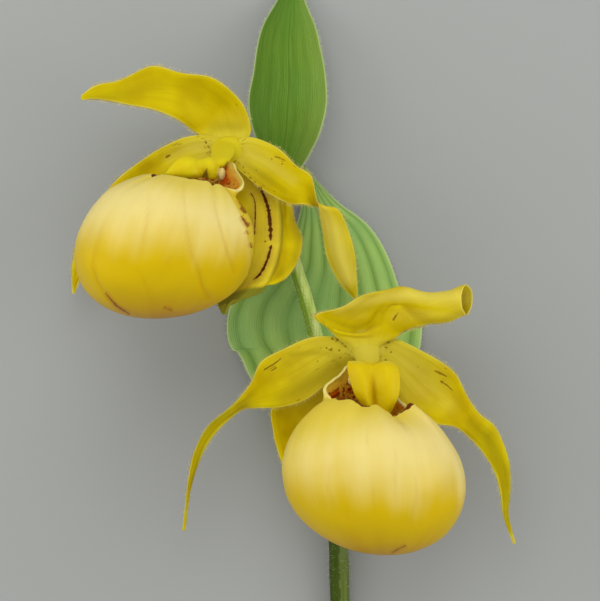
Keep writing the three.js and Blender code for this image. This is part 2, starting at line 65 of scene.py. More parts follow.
def linear(hexCode):
    # sRGB hex to the linear values that a shader takes
    shares = [int(hexCode[k : k + 2], 16) / 255 for k in (1, 3, 5)]
    curve = [c / 12.92 if c <= 0.04045 else ((c + 0.055) / 1.055) ** 2.4 for c in shares]
    return (*curve, 1.0)


nodeModes = {  # the setting that the second word of a node's kind stands for, and its usual value
    "Attribute": ("attribute_name", "share"),
    "MapRange": ("interpolation_type", "SMOOTHSTEP"),
    "Math": ("operation", "MULTIPLY"),
    "Mix": ("data_type", "RGBA"),
    "TexNoise": ("noise_dimensions", "3D"),
}


def addNode(tree, kind, *values, **sockets):
    # a node whose sockets are filled in their order, or by name, with numbers, hex colours, outputs or
    # nodes, which stand for their first output
    kind, _, mode = kind.partition(" ")
    node = tree.nodes.new("ShaderNode" + kind)
    if kind in nodeModes:
        setting, usual = nodeModes[kind]
        setattr(node, setting, mode or usual)
    filled = list(zip([socket for socket in node.inputs if socket.enabled], values))
    filled += [(node.inputs[name], value) for name, value in sockets.items()]
    for socket, value in filled:
        if isinstance(value, bpy.types.Node):
            value = next(output for output in value.outputs if output.enabled)
        if isinstance(value, bpy.types.NodeSocket):
            tree.links.new(value, socket)
        else:
            socket.default_value = linear(value) if isinstance(value, str) else value
    return node


def newMaterial(name):
    # a material, and what adds a node to it
    material = bpy.data.materials.new(name)
    material.use_nodes = True
    material.node_tree.nodes.clear()
    return material, functools.partial(addNode, material.node_tree)


def addLight(name, place, watts, size):
    lamp = bpy.data.lights.new(name, "AREA")
    lamp.shape = "DISK"
    lamp.energy = watts
    lamp.size = size
    light = bpy.data.objects.new(name, lamp)
    light.location = place
    aim = Vector((0, 0, 0.03)) - Vector(place)
    light.rotation_euler = aim.to_track_quat("-Z", "Y").to_euler()
    scene.collection.objects.link(light)


def makeStudio():
    camera = bpy.data.objects.new("camera", bpy.data.cameras.new("camera"))
    camera.location = studio["cameraPlace"]
    camera.data.sensor_fit = "HORIZONTAL"
    distance = studio["cameraPlace"][2] - studio["seenAt"]
    camera.data.lens = camera.data.sensor_width * distance / studio["widthSeen"]
    scene.collection.objects.link(camera)
    scene.camera = camera
    scene.view_settings.view_transform = "Standard"
    world = scene.world or bpy.data.worlds.new("softSky")
    scene.world = world
    world.use_nodes = True
    world.node_tree.nodes.clear()
    add = functools.partial(addNode, world.node_tree)
    add("OutputWorld", Surface=add("Background", Color=studio["sky"], Strength=studio["worldStrength"]))
    addLight("keyLight", studio["keyPlace"], studio["keyWatts"], studio["keySize"])
    for name, place in zip(("leftLight", "rightLight"), studio["sidePlaces"]):
        addLight(name, place, studio["sideWatts"], studio["sideSize"])
    bm = bmesh.new()
    bmesh.ops.create_grid(bm, x_segments=1, y_segments=1, size=studio["floorSize"] / 2)
    mesh = bpy.data.meshes.new("paperFloor")
    bm.to_mesh(mesh)
    bm.free()
    material, add = newMaterial("mattePaper")  # uncoated backdrop paper, with no shine
    paper = {"Base Color": studio["floor"], "Roughness": studio["floorRoughness"]}
    add("OutputMaterial", Surface=add("BsdfPrincipled", **paper))
    mesh.materials.append(material)
    floor = bpy.data.objects.new("paperFloor", mesh)
    scene.collection.objects.link(floor)


makeStudio()
print("studio ready")

# Stem: x, y, z of its axis and its radius, from the cut end to the upper node.
stemRoute = [
    [14.5, -112.3, 2.6, 2.75], [13.1, -65.4, 2.7, 2.7], [12.7, -51.2, 3.3, 2.7], [12, -38.7, 4.4, 2.68],
    [11.1, -28.9, 5.5, 2.65], [10.7, -22.8, 6, 2.6], [10.3, -17.3, 6.6, 2.4], [9.2, -9.5, 7.5, 2.25],
    [7.1, 4.4, 9.5, 2.05], [3.7, 18.1, 11.5, 1.9], [0.2, 29.1, 12.6, 1.85], [-2.6, 38.7, 13.6, 1.8],
    [-4.9, 46.7, 14.1, 1.85],
]

# Leaves: x, y, z of the midrib, half the width laid flat, and the curl of the section in degrees. A curl
# near 290 clasps the stem as a sheath; a negative one lets the edges droop.
lowerLeafRoute = [
    [11.2, -29.1, 2.2, 8.6, 290], [10.8, -22.9, 2.6, 9.2, 262], [10.3, -17.4, 3, 11.7, 200],
    [10, -11.8, 3.6, 16.1, 125], [9.8, -6.3, 4.2, 20, 60], [9.8, -0.7, 4.8, 23, 5],
    [9.8, 5.4, 5.3, 26.3, -35], [9.2, 12, 5.5, 28.5, -50], [10, 18.7, 5.3, 24.1, -52],
    [10.9, 26.4, 4.8, 17.7, -50], [9.8, 34.8, 4, 13, -45], [7.3, 43.1, 2.8, 6.1, -30],
    [4.8, 50.1, 1.6, 2.5, -15], [3.1, 55.4, 0.9, 0.5, -2],
]
upperLeafRoute = [
    [-3.4, 42.4, 11.2, 6.5, 285], [-4.4, 45.5, 11.4, 6.6, 240], [-4.3, 50, 11.4, 6.3, 130],
    [-3.4, 55.2, 12, 6.3, 85], [-2.4, 60.5, 12.4, 8.2, 75], [-1.8, 65.4, 12.4, 10.2, 65],
    [-1.4, 72.1, 11.6, 11.1, 45], [-1, 79.3, 10.2, 10.3, 38], [-1.1, 87.2, 8.2, 9, 32],
    [-0.9, 93.4, 5.9, 7.5, 28], [-0.5, 99.1, 3.5, 4.9, 20], [0.1, 105.4, 1.4, 2.1, 10],
    [0.2, 111.1, 0.3, 0.5, 2],
]

# Each bloom: the route of its ovary and of its column's neck with their radii, then each petal and sepal as
# rows of places across it, from one edge over the midrib to the other. The pouch is an ellipsoid, turned by
# its tilt about Z and bulged a little on three sides. It opens along its mouth's axis and faces its front.
lowerBloom = {
    "ovary": [
        [11.5, -18.6, 8.6, 1.5], [12.7, -14.9, 9.8, 1.7], [14.4, -9.9, 12, 2], [16.5, -4.9, 15.5, 2.3],
        [18.4, -1, 19, 2.6], [19.7, 2.1, 22.8, 2.8], [20.3, 4, 26, 2.9], [20.4, 4.6, 28, 2.5],
        [20.4, 4.6, 29.4, 1.3],
    ],
    "neck": [
        [19.7, 9.4, 26.6, 3], [19.8, 7, 28.6, 3.6], [19.9, 5, 29.6, 3.7], [20.1, 3, 30.9, 3.4],
        [20.4, 1, 33, 2.9], [20.8, -0.8, 35.4, 2.2],
    ],
    "shield": [
        [[26.6, 1.4, 35], [24.6, 1.5, 35.7], [21, 0.6, 35.2], [18, 1.5, 35.9], [15, 1.7, 35.2]],
        [[28.2, -0.6, 35.8], [25.4, -0.4, 37.5], [21.2, -1, 36], [17.9, -0.3, 37.7], [14.8, 0.2, 35.6]],
        [[28.6, -3.9, 36.2], [25.6, -4.2, 38.3], [21.5, -4.7, 36.6], [18.6, -4.2, 38.4],
         [15.6, -3.6, 36.3]],
        [[28.3, -7.4, 36.8], [25.6, -8.4, 38.1], [22, -8.9, 36.3], [19.4, -8.2, 38.1], [16.9, -7.2, 36.8]],
        [[26.2, -12.2, 36.5], [24.6, -12.6, 37.2], [22.4, -12.2, 36.3], [20.6, -11.4, 37],
         [18.6, -9.9, 36.6]],
    ],
    "dorsalSepal": [
        [[16.6, 2.6, 29.6], [17.6, 2.8, 30.1], [18.5, 2.9, 30.4], [19.4, 2.9, 30.5], [20.3, 2.9, 30.4],
         [21.1, 3, 30.2], [21.9, 3.3, 29.8]],
        [[14.4, 5.8, 29.8], [16, 6, 30.6], [17.7, 6, 30.9], [19.5, 6, 31], [21.3, 6, 30.9],
         [23, 6.1, 30.7], [24.4, 6.2, 30.2]],
        [[11, 9, 31.2], [13.6, 8.3, 31.2], [16.6, 7.9, 31.1], [19.6, 7.9, 31.1], [22.4, 7.9, 31.2],
         [25.2, 7.9, 31.2], [27.6, 7.8, 31.2]],
        [[6, 13.9, 32.3], [10.4, 10.4, 31.9], [14.8, 9.1, 31.5], [19.4, 9, 31.4], [23, 10.3, 31.6],
         [26, 10.2, 31.8], [29.2, 9.2, 32]],
        [[6.2, 14.1, 31.6], [10.8, 10.8, 29.2], [15, 9.6, 27.8], [19.6, 9.5, 27.6], [23.3, 12.2, 29.5],
         [26.8, 12.1, 32.6], [30.6, 10, 32.8]],
        [[8, 15, 30.9], [12.3, 12.6, 27.6], [16.4, 12, 26.6], [20.6, 12.2, 26.8], [24.1, 14.2, 30.4],
         [28.2, 13.6, 33.6], [32, 10.6, 33.8]],
        [[13.6, 16.6, 29.8], [17.2, 15.6, 27.2], [20.8, 15, 26.8], [23.6, 15.2, 28.6], [26.6, 16.2, 33],
         [30, 14.6, 34.6], [33.4, 11, 34.5]],
        [[19.8, 19.8, 29.5], [22, 18.8, 28.6], [24.6, 17.9, 29.6], [27.4, 17.2, 32.2], [29.8, 16.4, 34.6],
         [31.9, 14, 35], [34.2, 11.2, 35]],
        [[29.5, 20.3, 31], [29.8, 21.4, 33.2], [31.1, 20.1, 35.2], [32.4, 18, 36.8], [33.2, 16, 37.6],
         [34.6, 13.8, 37.2], [36.3, 11.6, 36.5]],
        [[38.6, 14.9, 32.5], [39.4, 17.6, 31.8], [39.2, 19.9, 34.3], [38, 19.8, 37.3], [37.2, 17.4, 39.8],
         [37.6, 14.3, 39.9], [38.9, 11.8, 38.5]],
        [[43, 13.3, 36.5], [44, 16.2, 34.7], [43.8, 19.5, 35.7], [42.3, 20.7, 38.6], [41.1, 18.6, 41.4],
         [41.2, 15, 41.5], [42.1, 12.5, 39.5]],
        [[46.9, 14.3, 39.9], [48.1, 17, 37.4], [48, 20.6, 38.2], [46.2, 22.2, 41], [45, 19.6, 43.6],
         [45.2, 16.2, 43.6], [46.3, 14.3, 41.1]],
    ],
    "synsepal": [
        [[22, 0.7, 27.2], [20.1, 0.6, 26.8], [18.2, 0.7, 27.2]],
        [[20, -6.4, 22.5], [14.5, -5.3, 21], [8.8, -3.6, 22]],
        [[15.7, -16.8, 19], [6.4, -14.7, 16], [-4.6, -9.7, 19.5]],
        [[14.6, -26.2, 17], [4.5, -23.6, 13.2], [-5.5, -17.4, 18.5]],
        [[16.2, -36.1, 16], [6.9, -33.5, 12.7], [-2.4, -27.3, 17.5]],
        [[17.9, -42.7, 15], [11.9, -40.1, 13], [4.2, -36.1, 16]],
        [[16.8, -47.7, 14.2], [16, -48, 14], [15.2, -48, 14.2]],
    ],
    "leftPetal": [
        [[17.6, -0.8, 29], [17.4, 4.2, 28.6], [17.4, 7.6, 29]],
        [[13.7, -1.9, 29.9], [13.1, 4.3, 28.8], [12.1, 8.2, 29.4]],
        [[8.7, -5.1, 31], [7.1, 1.4, 29], [5.5, 8.1, 30]],
        [[3.4, -8.9, 30], [1.2, -2.1, 28.5], [-1.8, 5.2, 31]],
        [[-3.4, -10.9, 28], [-5.6, -5.7, 28], [-8.5, 1.7, 31]],
        [[-9.9, -11.1, 26], [-10.7, -8.1, 27.5], [-11.2, -4.5, 30]],
        [[-14.3, -11.9, 25], [-14.8, -10.5, 26.5], [-15.2, -9.6, 28]],
        [[-20.6, -17.5, 23], [-21.8, -16.4, 23.5], [-23, -15.7, 24.5]],
        [[-24.4, -23.6, 20.5], [-25.7, -22.7, 20.8], [-26.5, -22.4, 21.5]],
        [[-27.3, -31.4, 17.5], [-27.9, -31.1, 17.7], [-28.6, -30.8, 18]],
        [[-28.7, -38.9, 15], [-29.1, -38.9, 15], [-29.6, -38.8, 15]],
        [[-29.4, -45.1, 13], [-29.9, -45.2, 13], [-30.4, -45.1, 13]],
    ],
    "rightPetal": [
        [[22.8, 8, 29.4], [22.5, 4.4, 28.6], [22.5, 0.4, 29.4]],
        [[27.9, 7.7, 30.2], [26.6, 4, 28.9], [25, -2.6, 29]],
        [[34.6, 4.5, 31.5], [32.3, -0.4, 29.3], [28.2, -8.4, 28.6]],
        [[40.5, 1.2, 32], [37.2, -5.2, 29.5], [32.6, -13, 28.4]],
        [[44.3, -2.1, 31.5], [42, -8.3, 29.3], [38.5, -15.3, 29.3]],
        [[47.4, -8.3, 30], [46.3, -12.4, 28.5], [43.9, -16.2, 28.5]],
        [[50.7, -12.7, 28], [49.9, -17.1, 27], [48.1, -19.4, 26.5]],
        [[55.2, -16.6, 25.5], [53.8, -20.7, 24.8], [52, -23.8, 24.5]],
        [[58.6, -24.6, 22.5], [57, -27.3, 22], [55.1, -29.2, 22]],
        [[59.5, -32.4, 19.5], [58.2, -33.7, 19.5], [56.6, -34.8, 19.5]],
        [[59.1, -40.4, 16.5], [58.5, -41, 16.3], [57.7, -41, 16.5]],
        [[61.2, -48.6, 13.5], [60.9, -48.9, 13.5], [60.5, -48.9, 13.5]],
    ],
    "pouch": {
        "centre": [21.8, -28.9, 38],
        "radii": [24.6, 20.6, 21],
        "tilt": -19.6,
        "bulge": {"share": 0.016, "heading": 101},
        "mouthAxis": [0, 1, 0],
        "front": [0, 0, 1],
    },
}

upperBloom = {
    "ovary": [
        [-5.2, 47.5, 14.3, 1.8], [-6.8, 50.5, 15.5, 1.9], [-9.5, 53.7, 18.2, 2.2], [-12.5, 56.3, 20, 2.6],
        [-14.9, 58, 22.2, 2.8], [-15.9, 58.6, 24.2, 2.8], [-16.4, 58.8, 25.6, 2.3],
        [-16.7, 58.9, 26.6, 1.2],
    ],
    "neck": [
        [-18.2, 65, 20.5, 2.4], [-18.3, 63, 22.1, 3.1], [-18.4, 61, 24.1, 3.5], [-18.7, 59, 27, 3.4],
        [-19.1, 57.4, 30.2, 3], [-19.8, 55.6, 33.6, 2.6], [-20.8, 54.3, 35.6, 2],
    ],
    "shield": [
        [[-20, 55.4, 35], [-22.4, 56.2, 36.6], [-25.1, 55.5, 36.8], [-27.4, 56.3, 38], [-30.4, 56, 38.3]],
        [[-19.8, 53.8, 35.5], [-22, 54.8, 38], [-24.8, 54.1, 37.8], [-27.4, 54.8, 39.6], [-32, 54.2, 39]],
        [[-20, 52.2, 36], [-22, 53.1, 38.2], [-24.5, 52.7, 37.7], [-27.4, 53.3, 39.9], [-33.3, 52.8, 39.5]],
        [[-20.5, 51.1, 36.2], [-21.8, 51.5, 37.6], [-23.9, 51.9, 37.2], [-27.1, 51.9, 39.8],
         [-33.9, 51.9, 39.6]],
        [[-21.1, 50.6, 36.2], [-22, 50.7, 37], [-24.3, 51.1, 36.8], [-28.1, 50.9, 39], [-32.6, 51.3, 39.2]],
    ],
    "dorsalSepal": [
        [[-22.4, 60, 26.2], [-17.4, 60.6, 25.6], [-12.2, 61.2, 26.4]],
        [[-24.8, 62.4, 25.6], [-18, 65, 24.8], [-11.3, 65.2, 26.4]],
        [[-27, 64, 25.6], [-20.5, 70.2, 25], [-14, 71.8, 28]],
        [[-31.5, 67, 30], [-26.1, 73.6, 28], [-21.4, 78, 30.5]],
        [[-37.3, 69.2, 33.5], [-33.1, 75.3, 31], [-30, 79.3, 32]],
        [[-43.6, 70.3, 36], [-40.2, 75.1, 34], [-37.8, 81.1, 34]],
        [[-48.6, 71.2, 38], [-47.2, 74.6, 37], [-46.2, 77.2, 36.5]],
        [[-53, 71.7, 40], [-52.8, 73.6, 39], [-52.4, 75.6, 39.6]],
        [[-56.2, 71.5, 40.5], [-56.5, 72.1, 40.5], [-56.4, 72.9, 40.5]],
    ],
    "synsepal": [
        [[-8.5, 57.1, 24.2], [-9.6, 56.8, 24], [-10.8, 56.4, 24], [-12, 56, 24.2], [-13.2, 55.4, 24.2],
         [-14.4, 54.8, 24.2], [-15.6, 54, 24]],
        [[-3.6, 50.8, 21.5], [-5, 50.9, 22.4], [-6.4, 51, 23], [-8, 51.2, 24], [-10.4, 51.2, 24.2],
         [-13.6, 51, 23.4], [-18.6, 50.4, 22.4]],
        [[-0.5, 45.4, 19.5], [-1.8, 45.4, 20.5], [-3.2, 45.4, 20.5], [-4.5, 45.9, 23.3],
         [-6.7, 46.4, 23.8], [-10.6, 47, 23.4], [-18.6, 47, 21.6]],
        [[0.6, 39.5, 17.8], [-1.3, 39.4, 19.8], [-2.9, 39.4, 20.2], [-3.6, 39.6, 23.4],
         [-6.7, 39.9, 24.2], [-10.4, 40.2, 23.6], [-17.4, 41, 21]],
        [[2.5, 34.5, 17.5], [-0.5, 34.5, 20], [-2.9, 34.5, 20.6], [-3.8, 34.4, 24], [-6.7, 34.4, 25],
         [-10, 34.4, 24], [-14.9, 34.5, 21.2]],
        [[1.2, 28.5, 20], [-1.3, 28.5, 22], [-4, 28.5, 22.8], [-4.9, 28.7, 26], [-7.8, 28.4, 26.6],
         [-11, 27.9, 25.4], [-15.4, 27.4, 22.6]],
        [[-2.3, 23.8, 23.6], [-4.2, 23.6, 25], [-5.9, 23.7, 25.6], [-6.7, 24.1, 28.2], [-9.1, 23.8, 28.8],
         [-12.1, 23.3, 27.2], [-15.9, 22.5, 24.6]],
        [[-7.2, 22.3, 26.6], [-7.5, 22.3, 27.2], [-7.6, 22.3, 27.4], [-8, 22.3, 29.2], [-10.2, 22.1, 30],
         [-12.9, 21.5, 28.8], [-16.4, 20.3, 26.4]],
        [[-8, 21.7, 27.2], [-8.3, 20.8, 27.6], [-9.4, 20, 28], [-11, 19.5, 28.8], [-13.4, 18.9, 29.4],
         [-16.1, 17.3, 29.6], [-19.9, 17.9, 28.4]],
        [[-15.4, 18.3, 29.6], [-15.8, 18, 29.8], [-16.3, 17.7, 30], [-16.9, 17.4, 30], [-17.7, 17, 30],
         [-18.7, 16.7, 30], [-20, 16.7, 29.6]],
        [[-18, 14.5, 30.4], [-18.1, 14.4, 30.5], [-18.3, 14.2, 30.6], [-18.5, 14.1, 30.6],
         [-18.7, 14.2, 30.6], [-18.9, 14.4, 30.5], [-19.2, 14.5, 30.4]],
    ],
    "leftPetal": [
        [[-18.6, 54.6, 26.2], [-19, 58.4, 25.4], [-18.6, 62, 25.8]],
        [[-24, 54.6, 27], [-24.4, 58.8, 26], [-25.4, 62.8, 27]],
        [[-29.4, 52, 26], [-30.6, 56.9, 25], [-32.4, 61, 26]],
        [[-35.3, 46.7, 22.5], [-38, 52.7, 22], [-41.2, 56.1, 23]],
        [[-43.1, 40, 17.5], [-46.1, 45.8, 17.5], [-49.1, 49.8, 19]],
        [[-49.6, 33.2, 14], [-52.3, 37.9, 14], [-55, 41.7, 15]],
        [[-54.3, 27.5, 12.5], [-56.8, 31.3, 12.5], [-59.3, 33.5, 13]],
        [[-58.5, 23.6, 12], [-59.3, 25.8, 12], [-60.7, 27.5, 12.3]],
        [[-59.8, 20.1, 12], [-60.2, 19.8, 12], [-60.7, 19.9, 12]],
    ],
    "rightPetal": [
        [[-14.4, 61.8, 27], [-14.8, 58, 26.4], [-15.8, 54.4, 27]],
        [[-10.4, 62, 28.8], [-11.4, 57.4, 27.6], [-13.6, 52.4, 28.2]],
        [[-4.2, 59.1, 31], [-5.6, 54, 29.3], [-8, 47.8, 29.2]],
        [[0.9, 54.4, 31.5], [-0.4, 49.7, 30], [-1.5, 44.3, 30]],
        [[5, 51.6, 31], [3.9, 47.6, 30], [2.8, 43.9, 30.5]],
        [[6.6, 45.1, 31.5], [6.6, 44.3, 29.5], [6.6, 43.6, 27.5]],
        [[7.4, 40.9, 26.5], [9.9, 42, 27.5], [12.3, 42.6, 27]],
        [[8.2, 37.2, 24], [11.5, 37.1, 25], [15, 37.2, 23.5]],
        [[9.4, 30.1, 20], [12.9, 30.1, 21], [17.1, 30.1, 19.5]],
        [[12.9, 22.8, 17], [15.4, 23.3, 17.6], [17.6, 24.2, 17]],
        [[16.8, 18.4, 15.3], [17.3, 18.4, 15.3], [17.8, 18.5, 15.3]],
    ],
    "pouch": {
        "centre": [-34.4, 32.6, 42],
        "radii": [23.5, 19.5, 22],
        "tilt": 7,
        "bulge": {"share": 0.034, "heading": 91},
        "mouthAxis": [0.18, 0.98, 0],
        "front": [-0.67, 0, 0.74],
    },
}


blooms = {"lower": lowerBloom, "upper": upperBloom}

# curves and surfaces, in millimetres
slopeStep = 0.01  # the share of a curve over which its slope is measured


def along(rows, t):
    # a smooth curve (Catmull-Rom) through rows of numbers, from 0 on the first row to 1 on the last
    last = len(rows) - 1
    place = min(max(t, 0), 1) * last
    i = min(int(place), last - 1)
    f = place - i
    b, c = rows[i], rows[i + 1]
    a = rows[i - 1] if i > 0 else [2 * q - r for q, r in zip(b, c)]
    d = rows[i + 2] if i + 2 <= last else [2 * r - q for q, r in zip(b, c)]
    curve = []
    for p, q, r, s in zip(a, b, c, d):
        bend = (2 * p - 5 * q + 4 * r - s) * f * f
        twist = (3 * q - p - 3 * r + s) * f * f * f
        curve.append(q + ((r - p) * f + bend + twist) / 2)
    return curve


def directionOf(route, t):
    ahead = Vector(along(route, t + slopeStep)[:3])
    return (ahead - Vector(along(route, t - slopeStep)[:3])).normalized()


def smooth(share):
    share = min(max(share, 0), 1)
    return share * share * (3 - 2 * share)


def petalSheet(rows):
    # the middle surface of a petal or sepal: u runs from base to tip, v from one edge to the other
    flat = [[number for place in row for number in place] for row in rows]
    seen = {}

    def place(u, v):
        if u not in seen:
            row = along(flat, u)
            seen[u] = [row[k : k + 3] for k in range(0, len(row), 3)]
        return Vector(along(seen[u], v))

    return place


def leafSheet(route, look):
    # the middle surface of a leaf: an arc across its midrib, pleated, with creases between the pleats
    seen = {}

    def place(u, v):
        if u not in seen:
            x, y, z, halfWidth, curl = along(route, u)
            forward = directionOf(route, u)
            side = forward.cross(Vector((0, 0, 1))).normalized()
            curl = math.radians(curl if abs(curl) > 0.1 else 0.1)
            seen[u] = (Vector((x, y, z)), side, side.cross(forward), 2 * halfWidth / curl, curl)
        middle, side, up, radius, curl = seen[u]
        angle = (v - 0.5) * curl
        fade = math.sin(math.pi * u) ** 1.5
        arch = math.sqrt(math.cos(math.pi * look["pleats"] * (v - 0.5)) ** 2 + 0.03) - 0.6
        lift = radius * (1 - math.cos(angle)) + look["pleatHeight"] * fade * arch
        return middle + side * (radius * math.sin(angle)) + up * lift

    return place


noMark = (9.0, 0.0, -3.0)  # what nearestMark gives where no line is near
markRun = 40.0  # keeps the patterns of two lines apart
markReach = 1.3  # how far, in millimetres, a line's edge may fray


def nearestMark(lines, x, y):
    # (millimetres across the nearest line, along it, its half width); the half width is negative where
    # no line is near
    best = noMark
    for number, line in enumerate(lines):
        run = markRun * number
        for a, b in zip(line, line[1:]):
            span = Vector((b[0] - a[0], b[1] - a[1]))
            reach = Vector((x - a[0], y - a[1]))
            share = reach.dot(span) / span.length_squared
            inside = min(max(share, 0), 1)
            gap = (reach - span * inside).length
            if gap < abs(best[0]):
                side = 1 if span.x * reach.y > span.y * reach.x else -1
                near = gap < markReach and inside == share
                width = a[2] + (b[2] - a[2]) * inside
                capped = near or gap < width
                width = width if capped else noMark[2]
                best = (side * gap if near else gap, run + span.length * inside, width)
            run += span.length
    return Vector(best)


def softShade(lines, x, y):
    # how much painted shade (above zero) or painted light (below zero) a place of the plan gets; each point
    # of a line has x, y, half width and strength
    total = 0
    for line in lines:
        most = 0
        for a, b in zip(line, line[1:]):
            span = Vector((b[0] - a[0], b[1] - a[1]))
            reach = Vector((x - a[0], y - a[1]))
            inside = min(max(reach.dot(span) / span.length_squared, 0), 1)
            gap = (reach - span * inside).length
            halfWidth, strength = (p + (q - p) * inside for p, q in zip(a[2:], b[2:]))
            here = strength * math.exp(-((gap / halfWidth) ** 2))
            most = here if abs(here) > abs(most) else most
        total += most
    return total


def addPiece(bm, name, materials, node=None):
    # a smooth-shaded piece from a bmesh in millimetres
    bmesh.ops.scale(bm, vec=(mm, mm, mm), verts=bm.verts)
    mesh = bpy.data.meshes.new(name)
    bm.to_mesh(mesh)
    bm.free()
    mesh.shade_smooth()
    for material in materials:
        mesh.materials.append(material)
    piece = bpy.data.objects.new(name, mesh)
    scene.collection.objects.link(piece)
    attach(piece, "root")
    if node:
        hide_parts(node)
    return piece


def thicken(piece, thickness, thinnest=None):
    wall = piece.modifiers.new("wall", "SOLIDIFY")
    wall.thickness = thickness * mm
    wall.offset = 0
    wall.use_quality_normals = True
    if thinnest:
        piece.vertex_groups.new(name="body")
        wall.vertex_group = "body"
        wall.thickness_vertex_group = thinnest
    return wall


spineSteps = 24
onEdge = 0.02  # millimetres from the margin within which a vertex counts as on it
bumpSize = 6


def bladeMesh(sheet, look, relief, lines=(), shades=(), floor=None):
    # a grid laid on a surface; it also gives the margin's places and the ways they face, for the hairs
    bm = bmesh.new()
    bmesh.ops.create_grid(bm, x_segments=look["across"], y_segments=look["lengthwise"], size=1)
    share = bm.verts.layers.float_vector.new("share")  # across, along, millimetres from the edge
    mark = bm.verts.layers.float_vector.new("mark")
    # painted shade above zero, painted light below zero
    dusk = bm.verts.layers.float.new("dusk")
    body = bm.verts.layers.deform.verify()
    spine = [sheet(k / spineSteps, 0.5) for k in range(spineSteps + 1)]
    length = sum((b - a).length for a, b in zip(spine, spine[1:]))
    widths = {}
    for vert in bm.verts:
        u, v = round((vert.co.y + 1) / 2, 5), (vert.co.x + 1) / 2
        if u not in widths:
            middle = sheet(u, 0.5)
            widths[u] = (sheet(u, 0) - middle).length + (sheet(u, 1) - middle).length
        edge = min(min(v, 1 - v) * widths[u], (1 - u) * length)
        vert.co = sheet(u, v)
        vert[share] = Vector((v, u, edge))
        vert[body][0] = smooth(edge / look["marginWidth"])
    bm.normal_update()
    shifts = [relief(vert[share].y, vert[share].x, vert.co) for vert in bm.verts]
    for vert, shift in zip(bm.verts, shifts):
        vert.co += vert.normal * shift
        if floor is not None:
            vert.co.z = max(vert.co.z, floor)
        vert[mark] = nearestMark(lines, vert.co.x, vert.co.y)
        vert[dusk] = softShade(shades, vert.co.x, vert.co.y)
    margin = []
    for vert in bm.verts:
        if vert[share].z < onEdge and look["hairy"][0] < vert[share].y < look["hairy"][1]:
            around = [e.other_vert(vert) for e in vert.link_edges]
            inner = [other for other in around if other[share].z > onEdge]
            if inner:
                margin.append((vert.co.copy(), (vert.co - inner[0].co).normalized()))
    return bm, margin


def stalkMesh(route, look):
    # a closed, ribbed stalk along a route of x, y, z and radius
    bm = bmesh.new()
    rows, caps = look["lengthwise"], look["caps"]
    bmesh.ops.create_grid(bm, x_segments=look["around"], y_segments=rows, size=1)
    share = bm.verts.layers.float_vector.new("share")  # turn, along, how far out from the axis
    for vert in bm.verts:
        row = round((vert.co.y + 1) / 2 * rows)
        turn = (vert.co.x + 1) * math.pi
        fromEnd = min(row, rows - row)
        reach = min(fromEnd / caps, 1)
        u = min(max((row - caps) / (rows - 2 * caps), 0), 1)
        x, y, z, radius = along(route, u)
        forward = directionOf(route, u)
        first = (look["side"] - forward * look["side"].dot(forward)).normalized()
        second = forward.cross(first)
        ribbed = 1 + look["ribDepth"] * math.cos(look["ribs"] * turn + look["twist"] * u)
        bumps = 1 + look["bumpDepth"] * noise.noise(Vector((x, y, z)) / bumpSize + first * math.cos(turn))
        chamfer = look["chamfer"] * (max(reach - 0.8, 0) / 0.2) ** 2 if fromEnd <= caps else 0
        out = radius * ribbed * bumps * reach - (chamfer if fromEnd == caps else 0)
        inset = forward * chamfer * (1 if row < rows / 2 else -1)
        way = first * math.cos(turn) + second * (math.sin(turn) * look.get("flat", 1))
        vert.co = Vector((x, y, z)) + way * out + inset
        vert[share] = Vector((turn / (2 * math.pi), u, reach))
    bmesh.ops.remove_doubles(bm, verts=bm.verts, dist=0.001)
    return bm


# the hairs
hairLook = {
    "sides": 3,
    "tip": 0.15,  # the tip's radius beside the root's
    "bend": 0.5,  # how far a hair strays from straight out
    "seed": 5,
}
random.seed(hairLook["seed"])  # before the first draw, so that each run is the same


def addHairs(name, roots, look, material):
    # one tapering hair, doubled until there are enough; each copy is then put on its own root
    bm = bmesh.new()
    copy = bm.verts.layers.int.new("copy")
    place = Matrix.Translation((0, 0, 0.5))
    sides, tip = hairLook["sides"], hairLook["tip"]
    bmesh.ops.create_cone(
        bm, cap_ends=True, segments=sides, radius1=1, radius2=tip, depth=1, matrix=place
    )
    copies = 1
    while copies < len(roots):
        made = bmesh.ops.duplicate(bm, geom=bm.verts[:] + bm.edges[:] + bm.faces[:])["geom"]
        for vert in [part for part in made if isinstance(part, bmesh.types.BMVert)]:
            vert[copy] += copies
        copies *= 2
    spare = [vert for vert in bm.verts if vert[copy] >= len(roots)]
    bmesh.ops.delete(bm, geom=spare, context="VERTS")
    places = []
    for root, way in roots:
        stray = Vector([random.uniform(-1, 1) for _ in range(3)]) * hairLook["bend"]
        turned = (way + stray).normalized().to_track_quat("Z", "X").to_matrix()
        size = Matrix.Diagonal((look["radius"], look["radius"], random.uniform(*look["length"])))
        places.append((root, turned @ size))
    for vert in bm.verts:
        root, turned = places[vert[copy]]
        vert.co = root + turned @ vert.co
        vert.co.z = max(vert.co.z, 0)
    return addPiece(bm, name, [material])


def thinned(roots, count):
    # a random choice of so many roots, each moved a little between its neighbours
    chosen = []
    for _ in range(count):
        k = random.randrange(len(roots) - 1)
        (a, way), (b, _) = roots[k], roots[k + 1]
        near = (a - b).length < 2
        chosen.append((a.lerp(b, random.random()) if near else a, way))
    return chosen


# materials
markLook = {
    "beads": 1.1,
    "fray": 0.8,  # millimetres
    "soft": 0.08,
    "halo": 1.1,
}


def perMm(size):
    # the scale of a pattern whose features are so many millimetres wide
    return 1 / (size * mm)


